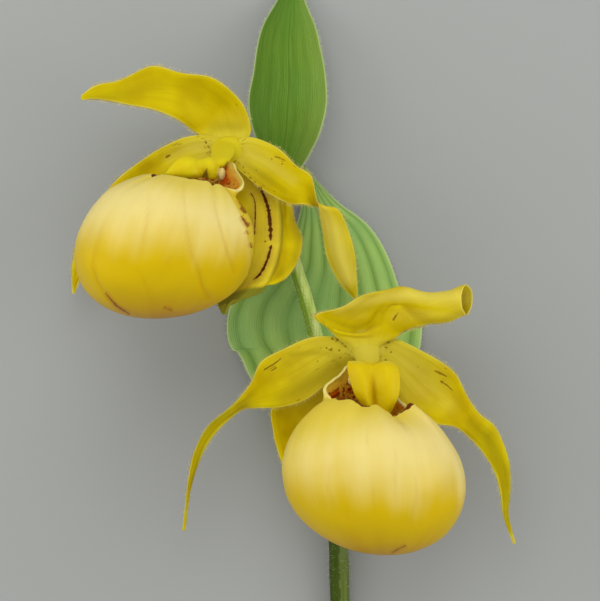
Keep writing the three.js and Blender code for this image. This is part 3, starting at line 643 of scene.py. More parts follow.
def markMask(add, wander):
    # 1 on a piece's listed marks, with ragged edges, and a halo that reaches a little further
    place = add("TexCoord").outputs["Object"]
    mark = add("Attribute mark").outputs["Vector"]
    aside, lengthwise, halfWidth = add("SeparateXYZ", mark).outputs[:3]
    gap = add("Math ABSOLUTE", aside)
    beads = add("TexNoise 1D", W=lengthwise, Scale=markLook["beads"], Detail=2)
    swell = add("Math MULTIPLY_ADD", beads, 1.7, 0.15)
    swollen = add("Math MULTIPLY_ADD", halfWidth, swell, 0.0)
    beyond = add("Math SUBTRACT", gap, swollen)
    ragged = add("TexNoise", Vector=place, Scale=perMm(markLook["fray"]), Detail=3)
    frayed = add("Math MULTIPLY_ADD", ragged, wander, beyond)
    soft, halo = markLook["soft"], markLook["halo"]
    limits = [(wander / 2 - soft, wander / 2 + reach, 1, 0) for reach in (soft, halo)]
    return [add("MapRange", frayed, *four) for four in limits]


def newTissue(name):
    # a material, the place on its piece and the three shares that its vertices carry
    material, add = newMaterial(name)
    place = add("TexCoord").outputs["Object"]
    share = add("Attribute share").outputs["Vector"]
    return material, add, place, add("SeparateXYZ", share).outputs[:3]


tissueLook = {"ior": 1.42, "fuzzRoughness": 0.4}


def finishTissue(add, colour, height, look):
    # light is partly turned back by the skin and partly let through the thin wall
    bump = add("Bump", Strength=look["relief"], Distance=mm, Height=height)
    skinSockets = {
        "Base Color": colour,
        "Roughness": look["roughness"],
        "IOR": tissueLook["ior"],
        "Specular Tint": look["shine"],
        "Sheen Weight": look["fuzz"],
        "Sheen Roughness": tissueLook["fuzzRoughness"],
        "Sheen Tint": look["fuzzTint"],
        "Normal": bump,
    }
    skin = add("BsdfPrincipled", **skinSockets)
    through = add("BsdfTranslucent", Color=colour, Normal=bump)
    both = add("MixShader", look["through"], skin, through)
    add("OutputMaterial", Surface=both)


petalLook = {
    "yellow": "#DAC800",
    "deep": "#C4AA00",
    # the tones of the painted shade and of the painted light
    "dusk": "#8C7A00",
    "light": "#EADA5C",
    "margin": "#E8DE68",
    "vein": "#A89200",
    "speck": "#6E500A",
    "mark": "#7A5C08",
    "markShare": 0.8,
    "halo": "#C8A238",
    "haloShare": 0.15,
    "band": "#E6D452",
    "bandShare": 0,
    "tip": "#5A6410",
    "tipFrom": 1.1,  # share of the length beyond which the green back shows
    "base": "#D6C83C",
    "baseTo": 0.42,
    "veins": 15,
    "patch": 9,
    "speckRows": 27,  # rows of specks across the petal
    "specksTo": 0.22,  # share of the petal's length that carries specks
    "driftSize": 5,
    "crowdSize": 3.5,
    "poreSize": 0.35,
    "stripeShare": 0.4,
    "veinShare": 0.11,
    "speckShare": 0.75,
    "paintedShadeShare": 0.85,
    "relief": 0.6,
    "fuzz": 0.1,
    "fuzzTint": "#FFF0A0",
    "shine": "#FFE45C",
    "through": 0.18,
    "roughness": 0.55,
}


def petalTissue(name, changes):
    # living petal tissue: a matt, velvety skin over parallel veins, thin enough to glow against light
    look = {**petalLook, **changes}
    material, add, place, (across, lengthwise, edge) = newTissue(name)
    patches = add("TexNoise", Vector=place, Scale=perMm(look["patch"]))
    patch = add("MapRange", patches, 0.35, 0.7)
    colour = add("Mix", patch, look["yellow"], look["deep"])
    band = add(
        "Math MULTIPLY",
        add("MapRange", across, 0.44, 0.52),
        add("MapRange", across, 0.84, 0.94, look["bandShare"], 0),
    )
    colour = add("Mix", band, colour, look["band"])
    foot = add("MapRange", lengthwise, 0.04, look["baseTo"], 0.85, 0)
    colour = add("Mix", foot, colour, look["base"])
    drift = add("TexNoise", Vector=place, Scale=perMm(look["driftSize"]), Detail=1)
    runs = [add("Math MULTIPLY", across, 9), add("Math MULTIPLY", lengthwise, 3)]
    stripeSpots = add("CombineXYZ", *runs)
    stripes = add("TexNoise", Vector=stripeSpots, Scale=1, Detail=3, Roughness=0.6)
    stripe = add("MapRange", stripes, 0.42, 0.68)
    colour = add("Mix", add("Math MULTIPLY", stripe, look["stripeShare"]), colour, look["deep"])
    swing = add("Math MULTIPLY_ADD", drift, 0.05, across)
    phase = add("Math MULTIPLY", swing, math.pi * look["veins"])
    ridge = add("Math ABSOLUTE", add("Math COSINE", phase))
    vein = add("MapRange", ridge, 0.82, 1)
    colour = add(
        "Mix",
        add("Math MULTIPLY", vein, add("Math MULTIPLY", stripe, look["veinShare"])),
        colour,
        look["vein"],
    )
    uneven = add("Math MULTIPLY_ADD", drift, -0.5, edge)
    pale = add("MapRange", uneven, -0.2, 0.2, 0.6, 0)
    pale = add("Math MULTIPLY", pale, add("MapRange", lengthwise, 0.08, 0.2))
    colour = add("Mix", pale, colour, look["margin"])
    dashes = [add("Math MULTIPLY", way, look["speckRows"]) for way in (swing, lengthwise)]
    dashSpots = add("CombineXYZ", *dashes)
    cells = add("TexVoronoi", Vector=dashSpots, Scale=1)
    chance = add("SeparateColor", cells.outputs["Color"])
    crowds = add("TexNoise", Vector=place, Scale=perMm(look["crowdSize"]), Detail=1)
    crowded = add("MapRange", crowds, 0.4, 0.62, -0.25, 0.3)
    crowd = add("MapRange", lengthwise, look["specksTo"] * 0.4, look["specksTo"] * 1.2, 1, 0)
    skirt = add(
        "Math MULTIPLY", add("MapRange", edge, 0.8, 3, 0.6, 0), add("MapRange", lengthwise, 0.3, 0.5, 1, 0)
    )
    crowd = add("Math MAXIMUM", crowd, skirt)
    chance = add(
        "Math ADD", add("Math MULTIPLY_ADD", crowd, 0.42, chance), add("Math MULTIPLY", crowded, crowd)
    )
    reach = add("MapRange", chance, 0.96, 1.3, 0, 0.33)
    spot = add("Math SUBTRACT", reach, cells.outputs["Distance"])
    specks = add("MapRange", spot, 0, 0.12)
    colour = add("Mix", add("Math MULTIPLY", specks, look["speckShare"]), colour, look["speck"])
    # painted shade where the value is above zero, painted light where it is below
    dusk = add("Attribute dusk").outputs["Fac"]
    colour = add("Mix", add("Math MULTIPLY", dusk, look["paintedShadeShare"]), colour, look["dusk"])
    colour = add("Mix", add("Math MULTIPLY", dusk, -look["paintedShadeShare"]), colour, look["light"])
    marks, halo = markMask(add, 0.4)
    colour = add("Mix", add("Math MULTIPLY", halo, look["haloShare"]), colour, look["halo"])
    colour = add("Mix", add("Math MULTIPLY", marks, look["markShare"]), colour, look["mark"])
    tip = add("MapRange", lengthwise, look["tipFrom"], look["tipFrom"] + 0.04)
    colour = add("Mix", tip, colour, look["tip"])
    pores = add("TexNoise", Vector=place, Scale=perMm(look["poreSize"]), Detail=2)
    height = add("Math MULTIPLY_ADD", vein, -0.012, add("Math MULTIPLY", pores, 0.06))
    finishTissue(add, colour, height, look)
    return material


pouchLook = {
    "cream": "#EEDC88",
    "lemon": "#E2CC34",
    "gold": "#D8B800",
    "amber": "#BA7800",
    "flank": "#DDC220",
    "crease": "#7E3E08",
    "maroon": "#5E2408",
    "rim": "#EBDC84",
    "cloudSize": 14,
    "fraySize": 0.8,
    "poreSize": 0.5,
    "goldenShare": 0.9,
    "furrowShare": 0.09,
    "haloShare": 0.5,
    "creaseShare": 0.85,
    "relief": 0.5,
    "fuzz": 0.07,
    "fuzzTint": "#FFF4B0",
    "shine": "#FFE878",
    "through": 0.2,
    "roughness": 0.42,
    "creamFrom": 0.64,  # the share of the way from toe to mouth above which the skin is cream
    "goldTo": 0.4,
    "lemonFrom": 0.58,
    "lemonShare": 0.85,
    "lemonSlant": 1,  # how much further down the lemon reaches on the left
    "lobes": 0.027,
    # painted light: the cream reaches further down on the lit side, the right on the lower pouch, the left
    # on the upper
    "paintedLightSlant": 0.02,  # how much further down the cream reaches on the right
}


def pouchSkin(name, changes):
    # the pouch's waxy outside: cream by the mouth, golden at the toe, with soft furrows; the change from
    # cream to gold is partly its own colour and partly painted light on the top and painted shade towards
    # the toe
    look = {**pouchLook, **changes}
    material, add, place, (furrow, towardsMouth, edge) = newTissue(name)
    clouds = add("TexNoise", Vector=place, Scale=perMm(look["cloudSize"]), Detail=2)
    swayed = add("Math MULTIPLY_ADD", clouds, 0.1, towardsMouth)
    flames = add("Attribute tongues").outputs["Vector"]
    flame = add("TexNoise", Vector=flames, Scale=0.3, Detail=3, Roughness=0.55)
    tongue = add("MapRange", flame, 0.36, 0.64, -0.01, 0.01)
    lobes = add("TexNoise", Vector=flames, Scale=0.15, Detail=1)
    tongue = add("Math ADD", tongue, add("MapRange", lobes, 0.3, 0.7, -look["lobes"], look["lobes"]))
    swayed = add("Math ADD", tongue, swayed)
    aside = add("SeparateXYZ", flames).outputs[1]
    # painted light: the cream reaches further down on the pouch's lit side
    swayed = add("Math MULTIPLY_ADD", aside, look["paintedLightSlant"] / pouchShape["tongueRadius"], swayed)
    # from gold to cream: partly the skin's own colour, partly painted light towards the top
    ripe = add("MapRange", swayed, look["goldTo"] + 0.05, look["creamFrom"] + 0.05)
    colour = add("Mix", ripe, look["gold"], look["cream"])
    leftwards = add("Math MULTIPLY_ADD", aside, -0.006 * look["lemonSlant"], towardsMouth)
    lemon = add(
        "MapRange", add("Math SUBTRACT", leftwards, tongue), look["lemonFrom"], 0.82, 0, look["lemonShare"]
    )
    colour = add("Mix", lemon, colour, look["lemon"])
    golden = add("Attribute golden").outputs["Fac"]
    colour = add("Mix", add("Math MULTIPLY", golden, look["goldenShare"]), colour, look["flank"])
    # darker amber at the toe, partly painted shade
    low = add("MapRange", swayed, 0.05, 0.45, 0.9, 0)
    colour = add("Mix", low, colour, look["amber"])
    # darker along the furrows, partly the veins' own colour, and along the creases as painted shade
    colour = add("Mix", add("Math MULTIPLY", furrow, look["furrowShare"]), colour, look["amber"])
    rim = add("MapRange", edge, 0.6, 1)
    colour = add("Mix", rim, colour, look["rim"])
    stain = add("Attribute stain").outputs["Fac"]
    frays = add("TexNoise", Vector=place, Scale=perMm(look["fraySize"]), Detail=3)
    stained = add("MapRange", add("Math MULTIPLY_ADD", frays, 0.7, stain), 0.82, 0.98)
    colour = add("Mix", stained, colour, look["maroon"])
    marks, halo = markMask(add, 0.3)
    colour = add("Mix", add("Math MULTIPLY", halo, look["haloShare"]), colour, look["amber"])
    colour = add("Mix", add("Math MULTIPLY", marks, look["creaseShare"]), colour, look["crease"])
    pores = add("TexNoise", Vector=place, Scale=perMm(look["poreSize"]), Detail=2)
    height = add("Math MULTIPLY", pores, 0.05)
    finishTissue(add, colour, height, look)
    return material


liningLook = {
    "tan": "#F8DC64",
    "flush": "#EE8A22",
    "maroon": "#A23A0C",
    "rim": "#E2D262",
    "flushSize": 3,
    "swellSize": 4.5,
    "blotSize": 1.1,
    "rightShare": 0.7,
    "through": 0.6,
    "roughness": 0.5,
    "fuzz": 0,
    "shine": "#FFA850",
}


def pouchLining(name, changes):
    # the pouch's inside: tan, flushed with orange and blotched with maroon on its left
    look = {**pouchLook, **liningLook, **changes}
    material, add, place, (_, _, edge) = newTissue(name)
    flush = add("TexNoise", Vector=place, Scale=perMm(look["flushSize"]), Detail=3)
    warm = add("MapRange", flush, 0.46, 0.6)
    colour = add("Mix", warm, look["tan"], look["flush"])
    turns = add("Attribute tongues").outputs["Vector"]
    onRight = add("MapRange", add("SeparateXYZ", turns).outputs[1], 6, 14)
    # a paler tone on the right; on the lower bloom it is painted light in a lining that the column keeps in
    # shade
    colour = add("Mix", add("Math MULTIPLY", onRight, look["rightShare"]), colour, look["right"])
    swell = add("TexNoise", Vector=place, Scale=perMm(look["swellSize"]), Detail=1)
    embers = add("Math MULTIPLY", onRight, add("MapRange", swell, 0.4, 0.58, 0, look["embers"]))
    colour = add("Mix", embers, colour, look["ember"])
    blots = add("TexNoise", Vector=place, Scale=perMm(look["blotSize"]), Detail=5)
    fadeOut = add("MapRange", edge, 0.7, 0.95, 0, 0.2)
    fadeOut = add("Math MULTIPLY_ADD", onRight, 0.09, fadeOut)
    blot = add("MapRange", add("Math SUBTRACT", blots, fadeOut), 0.49, 0.55, 0, 0.85)
    colour = add("Mix", blot, colour, look["maroon"])
    rim = add("MapRange", add("Math MULTIPLY_ADD", flush, 0.3, edge), 0.98, 1.12)
    colour = add("Mix", rim, colour, look["rim"])
    height = add("Math MULTIPLY", blots, 0.05)
    finishTissue(add, colour, height, look)
    return material


columnLook = {
    "deep": "#D8B600",
    "groove": "#B98E00",
    "dusk": "#7E6418",
    "anther": "#DCC47A",
    "cloudSize": 4,
    "grooveShadeShare": 0.8,
    "paintedShadeShare": 0.85,
    "relief": 0.4,
    "fuzz": 0.1,
    "fuzzTint": "#FFF6C8",
    "shine": "#FFEA80",
    "through": 0.12,
    "roughness": 0.42,
}


def columnFlesh(name, yellow, base):
    # the column: thick, smooth flesh, glossier than the petals, with painted shade in its groove and
    # between its lobes
    look = columnLook
    material, add, place, (groove, hub, cream) = newTissue(name)
    clouds = add("TexNoise", Vector=place, Scale=perMm(look["cloudSize"]), Detail=2)
    cloud = add("MapRange", clouds, 0.35, 0.7, 0, 0.4)
    colour = add("Mix", cloud, yellow, look["deep"])
    # painted shade along the groove
    colour = add("Mix", add("Math MULTIPLY", groove, look["grooveShadeShare"]), colour, look["groove"])
    colour = add("Mix", hub, colour, base)
    colour = add("Mix", cream, colour, look["anther"])
    # painted shade between the lobes
    dusk = add("Attribute dusk").outputs["Fac"]
    colour = add("Mix", add("Math MULTIPLY", dusk, look["paintedShadeShare"]), colour, look["dusk"])
    finishTissue(add, colour, clouds, look)
    return material


leafLook = {
    "paintedLitSide": "#9CB454",
    "lit": "#A8C070",
    "fleck": "#2E4A12",
    "margin": "#C6D49A",
    "patchSize": 16,
    "driftSize": 7,
    "grainSize": 0.4,
    "relief": 0.7,
    "fuzz": 0.05,
    "fuzzTint": "#E8F0C0",
    "shine": "#E6F09A",
    "through": 0.2,
    "roughness": 0.5,
}


def leafBlade(name, changes):
    # a leaf: satin, waxy green, with parallel veins, paler over the pleats as painted light, darker in the
    # creases between them as painted shade, and paler at the margin
    look = {**leafLook, **changes}
    material, add, place, (across, lengthwise, edge) = newTissue(name)
    middle = add("Math SUBTRACT", across, 0.5)
    pleatWave = add("Math COSINE", add("Math MULTIPLY", middle, 2 * math.pi * look["pleats"]))
    # painted light on the pleats' ridges and painted shade in their valleys
    band = add("MapRange", pleatWave, -1, 0.9)
    colour = add("Mix", band, look["valley"], look["ridge"])
    # painted shade along the creases between the pleats
    crease = add("MapRange", pleatWave, -1, -0.8, look["creases"], 0)
    colour = add("Mix", crease, colour, look["vein"])
    patches = add("TexNoise", Vector=place, Scale=perMm(look["patchSize"]), Detail=3)
    patch = add("MapRange", patches, 0.38, 0.68, 0, 0.6)
    colour = add("Mix", patch, colour, look["bluish"])
    # painted shade over the left half and painted light over the right half
    colour = add("Mix", add("MapRange", across, 0.05, 0.6, look["sides"], 0), colour, look["vein"])
    colour = add("Mix", add("MapRange", across, 0.55, 1, 0, look["sides"]), colour, look["paintedLitSide"])
    drift = add("TexNoise", Vector=place, Scale=perMm(look["driftSize"]), Detail=1)
    swing = add("Math MULTIPLY_ADD", drift, 0.012, across)
    phase = add("Math MULTIPLY", swing, math.pi * look["veins"])
    ridge = add("Math ABSOLUTE", add("Math COSINE", phase))
    vein = add("MapRange", ridge, 0.75, 1)
    colour = add("Mix", add("Math MULTIPLY", vein, look["veinShare"]), colour, look["vein"])
    rib = add("MapRange", add("Math ABSOLUTE", middle), 0.004, 0.016, look["ribShare"], 0)
    colour = add("Mix", rib, colour, look["vein"])
    runs = [add("Math MULTIPLY", across, 60), add("Math MULTIPLY", lengthwise, 8)]
    streakSpots = add("CombineXYZ", *runs)
    streaks = add("TexNoise", Vector=streakSpots, Scale=1, Detail=4, Roughness=0.7)
    streaked = add("MapRange", streaks, 0.48, 0.66, 0, look["streaks"])
    colour = add("Mix", streaked, colour, look["vein"])
    lit = add("MapRange", streaks, 0.34, 0.48, look["streaks"] * 0.5, 0)
    colour = add("Mix", lit, colour, look["lit"])
    dashes = [add("Math MULTIPLY", across, 62), add("Math MULTIPLY", lengthwise, 90)]
    dashSpots = add("CombineXYZ", *dashes)
    flecks = add("TexVoronoi", Vector=dashSpots, Scale=1)
    chance = add("SeparateColor", flecks.outputs["Color"])
    fleck = add("Math SUBTRACT", add("MapRange", chance, 0.66, 1, 0, 0.3), flecks.outputs["Distance"])
    flecked = add("MapRange", fleck, 0, 0.1, 0, look["flecks"])
    colour = add("Mix", flecked, colour, look["fleck"])
    pale = add("MapRange", edge, 0.05, look["paleTo"], 0.7, 0)
    colour = add("Mix", pale, colour, look["margin"])
    grain = add("TexNoise", Vector=place, Scale=perMm(look["grainSize"]), Detail=2)
    height = add("Math MULTIPLY_ADD", vein, -0.08, add("Math MULTIPLY", grain, 0.05))
    finishTissue(add, colour, height, look)
    return material


stemLook = {
    "green": "#C6D87C",
    "dark": "#A2BA58",
    "pale": "#DCE6A4",
    "shaded": "#6A8A12",
    "lowShade": "#1E3402",
    "pith": "#C9D19A",
    "bundle": "#7E8C4C",
    "hazeSize": 9,
    "pithSize": 0.8,
    "fibreSize": 0.7,
    "fibreLength": 14,
    "relief": 0.7,
    "fuzz": 0.03,
    "fuzzTint": "#E8F0A0",
    "shine": "#DCE878",
    "through": 0.03,
    "roughness": 0.45,
}


def stemSkin():
    # a herbaceous stem: satin green skin over shallow ridges, with a pale, moist cut end
    look = stemLook
    material, add, place, (turn, lengthwise, reach) = newTissue("herbStemSkin")
    fibres = add(
        "Mapping",
        Vector=place,
        Scale=(perMm(look["fibreSize"]), perMm(look["fibreLength"]), perMm(look["fibreSize"])),
    )
    streaks = add("TexNoise", Vector=fibres, Scale=1, Detail=3)
    streak = add("MapRange", streaks, 0.3, 0.72)
    colour = add("Mix", streak, look["dark"], look["green"])
    haze = add("TexNoise", Vector=place, Scale=perMm(look["hazeSize"]), Detail=2)
    hazed = add("MapRange", haze, 0.5, 0.75, 0, 0.35)
    colour = add("Mix", hazed, colour, look["pale"])
    offLeft = add("Math ABSOLUTE", add("Math SUBTRACT", turn, 0.77))
    colour = add("Mix", add("MapRange", offLeft, 0.16, 0.22, 0.9, 0), colour, look["shaded"])
    shade = add("MapRange", lengthwise, 0.35, 0.6, 0.94, 0)
    shade = add("Math MULTIPLY", shade, add("MapRange", offLeft, 0.2, 0.34, 1, 0.88))
    colour = add("Mix", shade, colour, look["lowShade"])
    pith = add("TexVoronoi", Vector=place, Scale=perMm(look["pithSize"]))
    bundle = add("MapRange", pith.outputs["Distance"], 0.12, 0.3, 1, 0)
    cut = add("Mix", bundle, look["pith"], look["bundle"])
    colour = add("Mix", add("MapRange", reach, 0.8, 0.9), cut, colour)
    height = add("Math MULTIPLY", streaks, 0.12)
    finishTissue(add, colour, height, look)
    return material


silkLook = {
    "cloudSize": 2,
    "relief": 0.1,
    "fuzz": 0.3,
    "fuzzTint": "#FFFFFF",
    "shine": "#FFFFFF",
    "through": 0.35,
    "roughness": 0.4,
}


def plantHair(name, tones):
    # fine plant hairs: clear, pale and a little silky
    material, add = newMaterial(name)
    place = add("TexCoord").outputs["Object"]
    clouds = add("TexNoise", Vector=place, Scale=perMm(silkLook["cloudSize"]), Detail=1)
    tone = add("MapRange", clouds, 0.35, 0.65)
    colour = add("Mix", tone, tones[0], tones[1])
    finishTissue(add, colour, clouds, silkLook)
    return material


hairMaterial = plantHair("paleStemHair", ("#E4E6B4", "#F6F3D2"))
bloomHairMaterial = plantHair("yellowBloomHair", ("#D8C860", "#EEE694"))
stemMaterial = stemSkin()
columnMaterials = {
    "lower": columnFlesh("goldenColumnFlesh", "#D4BA00", "#C8B836"),
    "upper": columnFlesh("lemonColumnFlesh", "#D8C810", "#CCBC18"),
}
print("materials ready")

# stem and ovaries
stemShape = {
    "around": 40,
    "lengthwise": 420,
    "caps": 8,
    "chamfer": 0.25,
    "side": Vector((0, 0, 1)),
    "ribs": 7,
    "ribDepth": 0.022,
    "twist": 3.0,
    "bumpDepth": 0.03,
    "hairs": 1700,
    "hairLook": {"length": (0.5, 1.1), "radius": 0.035},
}
stemMesh = stalkMesh(stemRoute, stemShape)
for vert in stemMesh.verts:
    vert.co.z = max(vert.co.z, 0)
stemMesh.normal_update()
stemRoots = [(vert.co.copy(), vert.normal.copy()) for vert in stemMesh.verts if vert.co.z > 0.2]
addPiece(stemMesh, "flowerStem", [stemMaterial], "stem")

ovaryShape = {
    "around": 48,
    "lengthwise": 90,
    "caps": 5,
    "chamfer": 0.2,
    "side": Vector((1, 0, 0)),
    "ribs": 6,
    "ribDepth": 0.07,
    "twist": 1.2,
    "bumpDepth": 0.03,
    "hairs": 500,
}
ovaryRoots = []
for prefix, bloom in blooms.items():
    ovaryMesh = stalkMesh(bloom["ovary"], ovaryShape)
    ovaryMesh.normal_update()
    ovaryRoots += [(vert.co.copy(), vert.normal.copy()) for vert in ovaryMesh.verts]
    addPiece(ovaryMesh, prefix + "OvaryStalk", [stemMaterial], prefix + "_ovary")
hairRoots = random.sample(stemRoots, stemShape["hairs"]) + random.sample(ovaryRoots, ovaryShape["hairs"])
addHairs("stemHairs", hairRoots, stemShape["hairLook"], hairMaterial)
print("stem ready")

# leaves
lowerLeafShape = {
    "across": 120,
    "lengthwise": 170,
    "marginWidth": 2.5,
    "pleats": 8,
    "pleatHeight": 0.5,
    "waveHeight": 0.5,
    "waves": 9,
    "wrinkle": 0.25,
    "wrinkleSize": 7,
    "thickness": 0.8,
    "thinnest": 0.35,
    "hairs": 700,
    "hairy": (0.06, 1),  # the part of the length with hairs
}
upperLeafShape = {
    **lowerLeafShape,
    "across": 72,
    "lengthwise": 190,
    "pleats": 6,
    "pleatHeight": 0.14,
    "waveHeight": 0.3,
    "wrinkle": 0.12,
    "hairs": 700,
}
leafMaterials = {
    "lower": leafBlade(
        "waxyLeafBlade",
        {
            "pleats": 8,
            "veins": 84,
            "veinShare": 0.05,
            "creases": 0.4,
            "ribShare": 0.1,
            "flecks": 0.0,
            "streaks": 0.1,
            "sides": 0,
            "paleTo": 0.9,
            "ridge": "#A8CC6C",
            "valley": "#8EB455",
            "bluish": "#88B46A",
            "vein": "#5A8438",
        },
    ),
    "upper": leafBlade(
        "youngLeafBlade",
        {
            "pleats": 6,
            "veins": 44,
            "creases": 0,
            "veinShare": 0.3,
            "ribShare": 0.5,
            "flecks": 0.5,
            "streaks": 0.22,
            "sides": 0.4,
            "paleTo": 0.5,
            "ridge": "#668E26",
            "valley": "#5C8420",
            "bluish": "#5A8A2C",
            "vein": "#3C6010",
        },
    ),
}


def addLeaf(name, route, shape, material, node):
    def relief(u, v, place):
        across = abs(2 * v - 1)
        wave = noise.noise(Vector((u * shape["waves"], 2.0 * (v > 0.5), 0.5)))
        wrinkle = noise.noise(place / shape["wrinkleSize"])
        fade = smooth(u / 0.25) * smooth((1 - u) / 0.08)
        return fade * (shape["waveHeight"] * wave * across**3 + shape["wrinkle"] * wrinkle)

    sheet = leafSheet(route, shape)
    bm, margin = bladeMesh(sheet, shape, relief, floor=shape["thickness"] / 2)
    leaf = addPiece(bm, name, [material], node)
    thicken(leaf, shape["thickness"], shape["thinnest"])
    return margin


lowerMargin = addLeaf("pleatedLeaf", lowerLeafRoute, lowerLeafShape, leafMaterials["lower"], "lower_leaf")
upperMargin = addLeaf("bractLeaf", upperLeafRoute, upperLeafShape, leafMaterials["upper"], "upper_leaf")
leafRoots = thinned(lowerMargin, lowerLeafShape["hairs"]) + thinned(upperMargin, upperLeafShape["hairs"])
addHairs("leafHairs", leafRoots, {"length": (0.4, 0.9), "radius": 0.035}, hairMaterial)
print("leaves ready")

# petals and sepals
petalShape = {
    "across": 52,
    "lengthwise": 170,
    "marginWidth": 1.6,
    "thickness": 0.75,
    "thinnest": 0.3,
    "foldHeight": 0.04,
    "folds": 5,
    "waveHeight": 0.7,
    "waves": 7,
    "drift": 0.3,
    "driftSize": 8,
    "hairs": 640,
    "hairy": (0.16, 0.94),
}
# marks in the plan: x, y and half width of each point
petalMarks = {
    "upperSynsepal": [
        [[-8.9, 49, 0.28], [-7.6, 46, 0.42], [-6.6, 43, 0.42], [-6.2, 39.6, 0.52], [-6, 36.6, 0.46],
         [-6, 34.2, 0.25]],
        [[-5.8, 32.8, 0.28], [-6.6, 29.6, 0.36], [-7.6, 26.9, 0.32], [-9, 24.5, 0.28], [-10.6, 23.3, 0.12]],
        [[-11.4, 47.3, 0.14], [-10.5, 46, 0.12], [-10.1, 44.3, 0.14], [-10.1, 40.9, 0.15],
         [-10.2, 35.8, 0.1]],
        [[-17.6, 18.6, 0.4], [-16.4, 20.6, 0.5]],
        [[-7.4, 34.1, 0.25], [-7.3, 33.7, 0.2]],
    ],
    "lowerPetalLeft": [
        [[-7.9, -0.6, 0.2], [-5.3, 0.9, 0.25], [-2.9, 2.7, 0.15]],
        [[-6.1, -1.0, 0.15], [-4.2, 0.2, 0.2]],
        [[10.2, 4.6, 0.4], [10.6, 5.1, 0.35]],
        [[6.5, 1.2, 0.2], [7.1, 1.8, 0.2]],
        [[11.5, 7.0, 0.18], [12.3, 7.4, 0.30]],
        [[8.7, 5.1, 0.22], [9.4, 5.3, 0.33]],
        [[12, 4.2, 0.18], [12.9, 4.6, 0.27]],
        [[14.1, 5.7, 0.22], [14.9, 5.7, 0.38]],
        [[14.6, 4.9, 0.15], [15.4, 4.8, 0.30]],
        [[10.3, 7.6, 0.15], [10.9, 7.8, 0.27]],
        [[13.2, 6.5, 0.12], [13.8, 6.5, 0.24]],
        [[15, 3.4, 0.15], [15.8, 3.5, 0.30]],
        [[12.6, 2.2, 0.15], [13.2, 2.6, 0.24]],
    ],
    "lowerPetalRight": [
        [[38.3, -0.8, 0.15], [40.2, -1.6, 0.3], [41.9, -2.5, 0.15]],
        [[39.9, -3.6, 0.25], [41.7, -4.7, 0.2], [43.5, -6.5, 0.08]],
        [[22.9, 4.2, 0.18], [23.6, 4.3, 0.33]],
        [[23.3, 5.2, 0.22], [24.2, 5.5, 0.30]],
        [[24.9, 5.3, 0.15], [25.6, 5.4, 0.27]],
        [[25.4, 6.7, 0.18], [26.1, 6.8, 0.30]],
        [[23.8, 6.1, 0.12], [24.4, 6.4, 0.21]],
        [[23, 2.8, 0.12], [23.8, 2.9, 0.24]],
        [[24.7, 2, 0.12], [25.4, 1.8, 0.21]],
        [[26.2, 4.2, 0.12], [26.8, 4.1, 0.21]],
    ],
    "lowerDorsalSepal": [[[27.2, 12.7, 0.25], [27.8, 13.7, 0.22], [28.7, 15, 0.1]]],
    "upperPetalLeft": [
        [[-34.4, 57.0, 0.3], [-33.2, 57.6, 0.3]],
        [[-23.9, 61.5, 0.12], [-23.3, 60.6, 0.2]],
        [[-23.1, 60.2, 0.12], [-22.6, 59.3, 0.22]],
        [[-24.2, 60.2, 0.08], [-23.6, 59.2, 0.16]],
        [[-22.5, 58.7, 0.1], [-22.2, 58, 0.16]],
        [[-23.3, 58.4, 0.08], [-23, 57.8, 0.12]],
    ],
    "upperPetalRight": [
        [[-5, 57, 0.1], [-3.6, 56.6, 0.2], [-1.6, 55.6, 0.1]],
        [[-5.8, 56.4, 0.1], [-5.2, 56.2, 0.16]],
        [[-3, 55, 0.16], [-2.3, 54.8, 0.16]],
        [[-16.3, 60.8, 0.12], [-15.8, 60.2, 0.2]],
        [[-15.6, 59.4, 0.12], [-15.2, 58.7, 0.22]],
        [[-14.6, 60, 0.1], [-14.4, 59.2, 0.18]],
        [[-15, 57.8, 0.1], [-14.4, 57.2, 0.18]],
        [[-14.6, 55.3, 0.1], [-14, 54.6, 0.16]],
        [[-13.6, 54.4, 0.1], [-13, 53.8, 0.16]],
        [[-13.3, 52.9, 0.1], [-12.7, 52.4, 0.18]],
        [[-12.2, 52.7, 0.1], [-11.7, 52.2, 0.14]],
        [[-11.8, 51.4, 0.12], [-11, 50.9, 0.2]],
        [[-10.6, 50.4, 0.1], [-9.9, 49.8, 0.18]],
        [[-9.9, 53.4, 0.12], [-9.6, 53.1, 0.16]],
        [[-9.3, 48.9, 0.12], [-8.2, 48.3, 0.24]],
        [[-8.3, 49.4, 0.1], [-7.5, 48.9, 0.18]],
    ],
}
